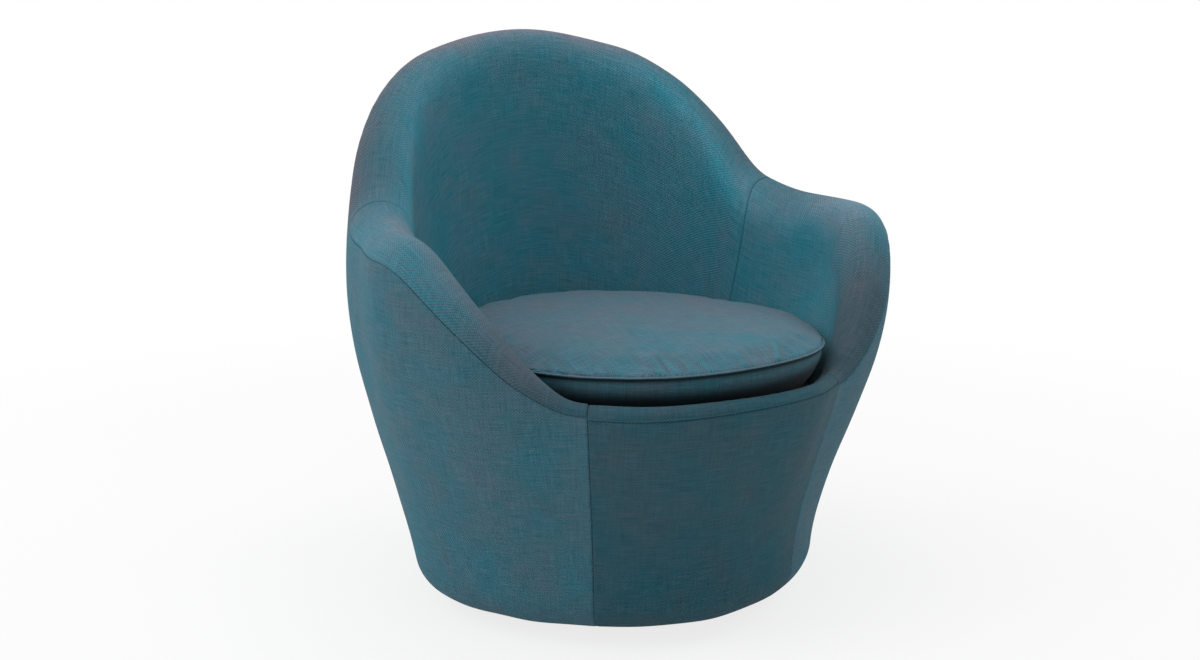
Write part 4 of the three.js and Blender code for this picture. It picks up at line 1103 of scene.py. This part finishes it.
class TUB_OT_cushion(bpy.types.Operator):
    """Loose seat cushion, blown up from its sewn cover, with the narrow welt in its top seam"""

    bl_idname = "tub_chair.cushion"
    bl_label = "Seat cushion"

    def execute(self, context):
        tub, cushion = context.scene.tub_settings, context.scene.tub_cushion
        cloth = shot_twill("shot twill, cushion", context.scene.tub_finish, 0.6)
        points, faces, flat, ring, held, tops = cushion_shape(tub, cushion)
        unset = np.zeros(len(points))
        values = {"top": np.arange(len(points)) < tops, "weft": unset, "tone": unset}
        cover = new_piece("sewn_cover", points, faces, [cloth], None, flat, values)
        swollen(cover, ring, held, tops, cushion)
        # The seam is drawn in by the welt's radius, and the welt lies half sunk above it
        co = places_of(cover.data).astype(float)
        path = co[ring]
        path = (np.roll(path, 1, axis=0) + 2 * path + np.roll(path, -1, axis=0)) / 4
        outward = path - path.mean(axis=0)
        outward[:, 2] = 0
        outward /= np.linalg.norm(outward, axis=1, keepdims=True)
        co[ring] -= outward * cushion.welt
        put_places(cover.data, co)
        piece = subdivided(cover, "seat_cushion")
        self.fold(piece.data, tub, cushion, path)
        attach(piece, "cushion")
        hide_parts("cushion_core", "cushion_case", "cushion_top")
        path = path + outward * cushion.welt * 0.3 + np.array([0, 0, cushion.welt])
        tube, quads = tube_round(path, cushion.welt)
        along = np.cumsum(np.linalg.norm(np.diff(path, axis=0, prepend=path[-1:]), axis=1))
        girth = np.linspace(0, 0.012, 8, endpoint=False)
        # Its threads are drawn at their real spacing, three times finer
        flat = 3 * np.stack(np.broadcast_arrays(along[:, None], girth[None, :]), axis=-1)
        # The welt's tone of 1.5 is a painted highlight along its ridge
        values = {"weft": np.full(len(tube), -0.1), "tone": np.full(len(tube), 1.5)}
        quads = facing_out(tube, quads)
        welt = new_piece("cushion_welt", tube, quads, [cloth], None, flat.reshape(-1, 2), values)
        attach(welt, "cushion")
        return {"FINISHED"}

    def fold(self, mesh, tub, cushion, path):
        """Raises the folds on the top and sets how the cloth looks. On the top, more of the warp
        shows behind, towards the front seam and on the folds' crests; a painted highlight makes the
        cloth lighter on the crests and towards the right front, and painted shade darker behind.
        The boxing is painted darker than the top, as painted shade. It is darkest in the groove, 3
        mm under the seam, and below a reach that shrinks from 34 mm in front to 8 mm at the right,
        and darker round the right end, all painted shade."""
        co = places_of(mesh).astype(float)
        top = np.zeros(len(co), np.float32)
        mesh.attributes["top"].data.foreach_get("value", top)
        top = top > 0.9
        folds = eased_folds(tub, cushion, co[:, 0], co[:, 1]) * top
        co[:, 2] += folds
        put_places(mesh, co)
        crest = np.clip(folds / 0.001, -1, 1)
        fore = np.clip((SHIFT - co[:, 1]) / 0.3, 0, 1)
        lean = np.clip(0.5 + 0.5 * (co[:, 0] - 0.6 * (co[:, 1] - SHIFT)) / 0.26, 0, 1)
        top_weft = -0.4 * np.clip((fore - 0.35) / 0.5, 0, 1) - 0.2 * crest - 0.14 * (1 - fore)
        # Painted highlight on the folds' crests and towards the right front, painted shade behind
        top_tone = 1.02 + 0.13 * lean + 0.1 * crest - 0.07 * (1 - fore)
        turn = np.arctan2(co[:, 0], -co[:, 1])
        seam_turn = np.arctan2(path[:, 0], -path[:, 1])
        seam_z = np.interp(turn, seam_turn, path[:, 2], period=2 * np.pi)
        down = np.clip(seam_z - co[:, 2], 0, 1)
        reach = 0.034 - 0.026 * np.clip((turn - 0.1) / 0.95, 0, 1) ** 1.3
        # Painted shade on the boxing: darker than the top, darkest below the reach, in the groove
        # under the seam and round the right end
        boxing = 0.74 - 0.64 * smooth_step(down / reach, 0.3, 1)
        boxing = boxing * (1 - 0.9 * bell(down, 0.003, 0.003)) * (1 - 0.3 * bell(turn, 0.95, 0.35))
        looks = {"weft": np.where(top, top_weft, -0.5), "tone": np.where(top, top_tone, boxing)}
        for label, value in looks.items():
            mesh.attributes[label].data.foreach_set("value", value.astype(np.float32))
        mesh.attributes.remove(mesh.attributes["top"])
        mesh.update()


class TUB_OT_linings(bpy.types.Operator):
    """Deck pad under the cushion and the dust cover under the tub"""

    bl_idname = "tub_chair.linings"
    bl_label = "Linings"

    def execute(self, context):
        tub = context.scene.tub_settings
        lining = lining_cloth()
        step = 2.0
        degrees = np.arange(0, 360, step)[:, None]
        section = section_at(tub, degrees)
        # The deck: a round pad whose quilting swells by 0.6 mm, and whose edge falls by 3 mm
        edge = section["roll_r"] - section["roll"] - section["lean"] - 0.0005
        share = np.linspace(0.0005, 1, 40)[None, :]
        quilt = 0.0006 * np.cos(share * 40) * (1 - share)
        top = swept(edge * share, degrees, DECK_TOP - 0.0008 - 0.003 * share**8 + quilt)
        low = swept(edge * share, degrees, SEAT_DECK)
        piece = self.disc("seat_deck", top, low, lining)
        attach(piece, "seat")
        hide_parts("seat_deck_pad")
        # The dust cover: a ring from the plinth's hole to a third of the way under the hem, which
        # sags by up to 0.4 mm between its staples
        outer = swept(section["hem_r"] - tub.hem_return / 3, degrees, 0.0)
        reach = np.hypot(outer[..., 0], outer[..., 1])
        turn = np.arctan2(outer[..., 0], -outer[..., 1])
        share = np.linspace(0, 1, 18)[None, :]
        r = PLINTH_ROOM + (reach - PLINTH_ROOM) * share
        slack = 0.0004 * np.sin(np.pi * share) * np.cos(14 * turn)
        x, y, over = r * np.sin(turn), -r * np.cos(turn), tub.floor_gap - HAIR
        front = np.stack([x, y, over - 0.0013 + 0 * r], axis=-1)
        back = np.stack([x, y, over - 0.0002 - np.abs(slack)], axis=-1)
        cover = self.disc("dust_sheet", back, front, lining)
        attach(cover, "seat")
        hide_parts("dust_cover")
        return {"FINISHED"}

    def disc(self, name, top, low, material):
        """A closed ring-shaped or round slab between two grids that close round the first axis."""
        rows, columns = top.shape[:2]
        size = rows * columns
        points = np.concatenate([top.reshape(-1, 3), low.reshape(-1, 3)])
        near = grid_faces(rows, columns, 0, True)
        far = grid_faces(rows, columns, size, True)[:, ::-1]
        rims = []
        for j in (0, columns - 1):
            here = np.arange(rows) * columns + j
            ahead = np.roll(here, -1)
            rims.append(np.stack([here, ahead, ahead + size, here + size], -1))
        faces = np.concatenate([near, far, rims[0], rims[1][:, ::-1]])
        return new_piece(name, points, facing_out(points, faces), [material], None, points[:, :2])


class TUB_OT_hidden_parts(bpy.types.Operator):
    """Finishes of the plywood frame, hoop, webs, swivel, plinth and glides"""

    bl_idname = "tub_chair.hidden_parts"
    bl_label = "Frame and swivel finishes"

    def execute(self, context):
        finishes = {
            "birch_plywood": birch_plywood(),
            "black_plinth": painted_board(),
            "zinc_steel": zinc_plate(),
            "bright_steel": bearing_steel(),
            "webbing": rubber_web(),
            "felt": wool_felt(),
        }
        slots = {entry["node"]: entry["material_slot"] for entry in frame["record"]["subparts"]}
        for name, node in frame["nodes"].items():
            if slots[name] in finishes:
                node.data.materials.clear()
                node.data.materials.append(finishes[slots[name]])
        return {"FINISHED"}


class TUB_OT_stage(bpy.types.Operator):
    """Pale floor, soft studio lamps and the photograph's camera"""

    bl_idname = "tub_chair.stage"
    bl_label = "Stage"

    def execute(self, context):
        stage = context.scene.tub_stage
        side = 40.0
        corners = np.array([[-side, -side, 0], [side, -side, 0], [side, side, 0], [-side, side, 0]])
        floor = new_piece("floor", corners, np.array([[0, 1, 2, 3]]), [self.floor_finish()])
        world = bpy.data.worlds.new("studio")
        world.use_nodes = True
        tree = world.node_tree
        tree.nodes.clear()
        lights = {"i0": seen_directly(tree)}
        for socket, strength in (("i1", stage.sky), ("i2", 1.0)):
            light = add_node(tree, "ShaderNodeBackground", Color=WHITE, Strength=strength)
            lights[socket] = light.outputs[0]
        mixed = add_node(tree, "ShaderNodeMixShader", **lights)
        add_node(tree, "ShaderNodeOutputWorld", Surface=mixed.outputs[0])
        context.scene.world = world
        # Each lamp's power, width and place. All of them point at the cushion's middle.
        lamps = {
            "left": (stage.left, 2.2, (-2.4, 0.7, 1.8)),
            "right": (stage.right, 1.6, (2.4, -0.5, 2.0)),
            "top": (stage.top, 1.8, (-0.2, -0.1, 2.6)),
            "front": (stage.front, 1.4, (-1.6, -2.9, 1.6)),
        }
        for name, (power, size, place) in lamps.items():
            data = bpy.data.lights.new(name, "AREA")
            data.energy, data.size = power, size
            lamp = bpy.data.objects.new(name, data)
            lamp.matrix_world = self.aimed(place, Vector((0, 0, 0.4)) - Vector(place))
            context.scene.collection.objects.link(lamp)
        self.camera(context.scene, stage)
        return {"FINISHED"}

    def aimed(self, place, ahead):
        """The matrix of a lamp or camera that stands at a place and looks ahead, upright."""
        return Matrix.Translation(place) @ ahead.to_track_quat("-Z", "Y").to_matrix().to_4x4()

    def floor_finish(self):
        """Matt white studio floor. To the camera it is lifted most of the way to white, and keeps
        part of the chair's shadow near it. Beyond about 2 m it is lit out to plain white."""
        material, tree, shader = new_material("matt white floor")
        shader.inputs["Base Color"].default_value = linear("#f4f4f4")
        shader.inputs["Roughness"].default_value = 0.9
        shader.inputs["Specular IOR Level"].default_value = 0.1
        place = add_node(tree, "ShaderNodeTexCoord").outputs["Object"]
        far = add_node(tree, "ShaderNodeVectorMath", {"operation": "LENGTH"}, i0=place)
        fade = {"i1": 0.5, "i2": 2.0, "i3": 0.8, "i4": 1.0}
        lift = add_node(tree, "ShaderNodeMapRange", i0=far.outputs["Value"], **fade).outputs[0]
        share = add_node(tree, MATH, TIMES, i0=seen_directly(tree), i1=lift).outputs[0]
        white = add_node(tree, "ShaderNodeEmission", Color=WHITE, Strength=1.0).outputs[0]
        mixed = add_node(tree, "ShaderNodeMixShader", i0=share, i1=shader.outputs[0], i2=white)
        output = next(node for node in tree.nodes if node.type == "OUTPUT_MATERIAL")
        tree.links.new(mixed.outputs[0], output.inputs[0])
        return material

    def camera(self, scene, stage):
        """Stands where the photograph was taken from: a level circle round the tub, then turned
        aside a little and pitched down."""
        data = bpy.data.cameras.new("photograph")
        data.lens, data.sensor_width = stage.lens, 36.0
        data.clip_start, data.clip_end = 0.05, 200.0
        eye = bpy.data.objects.new("photograph", data)
        place = (
            math.sin(stage.azimuth) * stage.distance,
            -math.cos(stage.azimuth) * stage.distance + SHIFT,
            stage.height,
        )
        yaw = stage.azimuth + stage.aside
        level = math.cos(stage.pitch)
        ahead = Vector((-math.sin(yaw) * level, math.cos(yaw) * level, -math.sin(stage.pitch)))
        eye.matrix_world = self.aimed(place, ahead)
        scene.collection.objects.link(eye)
        scene.camera = eye
        scene.view_settings.view_transform = "Standard"


class TUB_PT_sidebar(bpy.types.Panel):
    """Lists the chair's pieces and the sizes and colours that shape them"""

    bl_label = "Tub chair"
    bl_idname = "TUB_PT_sidebar"
    bl_space_type = "VIEW_3D"
    bl_region_type = "UI"
    bl_category = "Tub chair"

    def draw(self, context):
        for operator in OPERATORS:
            self.layout.operator(operator.bl_idname)
        for group in GROUPS:
            box = self.layout.box()
            settings = getattr(context.scene, group)
            for name in settings.bl_rna.properties.keys():
                if name not in ("rna_type", "name"):
                    box.prop(settings, name)


OPERATORS = [
    TUB_OT_stage,
    TUB_OT_outer_panels,
    TUB_OT_inner_panels,
    TUB_OT_cushion,
    TUB_OT_linings,
    TUB_OT_hidden_parts,
]
GROUPS = {
    "tub_settings": TubSettings,
    "tub_cushion": CushionSettings,
    "tub_finish": FinishSettings,
    "tub_stage": StageSettings,
}


def register():
    for kind in [*GROUPS.values(), *OPERATORS, TUB_PT_sidebar]:
        bpy.utils.register_class(kind)
    for name, kind in GROUPS.items():
        setattr(bpy.types.Scene, name, bpy.props.PointerProperty(type=kind))


def unregister():
    for name in GROUPS:
        delattr(bpy.types.Scene, name)
    for kind in reversed([*GROUPS.values(), *OPERATORS, TUB_PT_sidebar]):
        bpy.utils.unregister_class(kind)


def main():
    global SHIFT
    register()
    SHIFT = tub_shift(bpy.context.scene.tub_settings)
    for operator in OPERATORS:
        getattr(bpy.ops.tub_chair, operator.bl_idname.split(".")[1])()


if __name__ == "__main__":
    main()
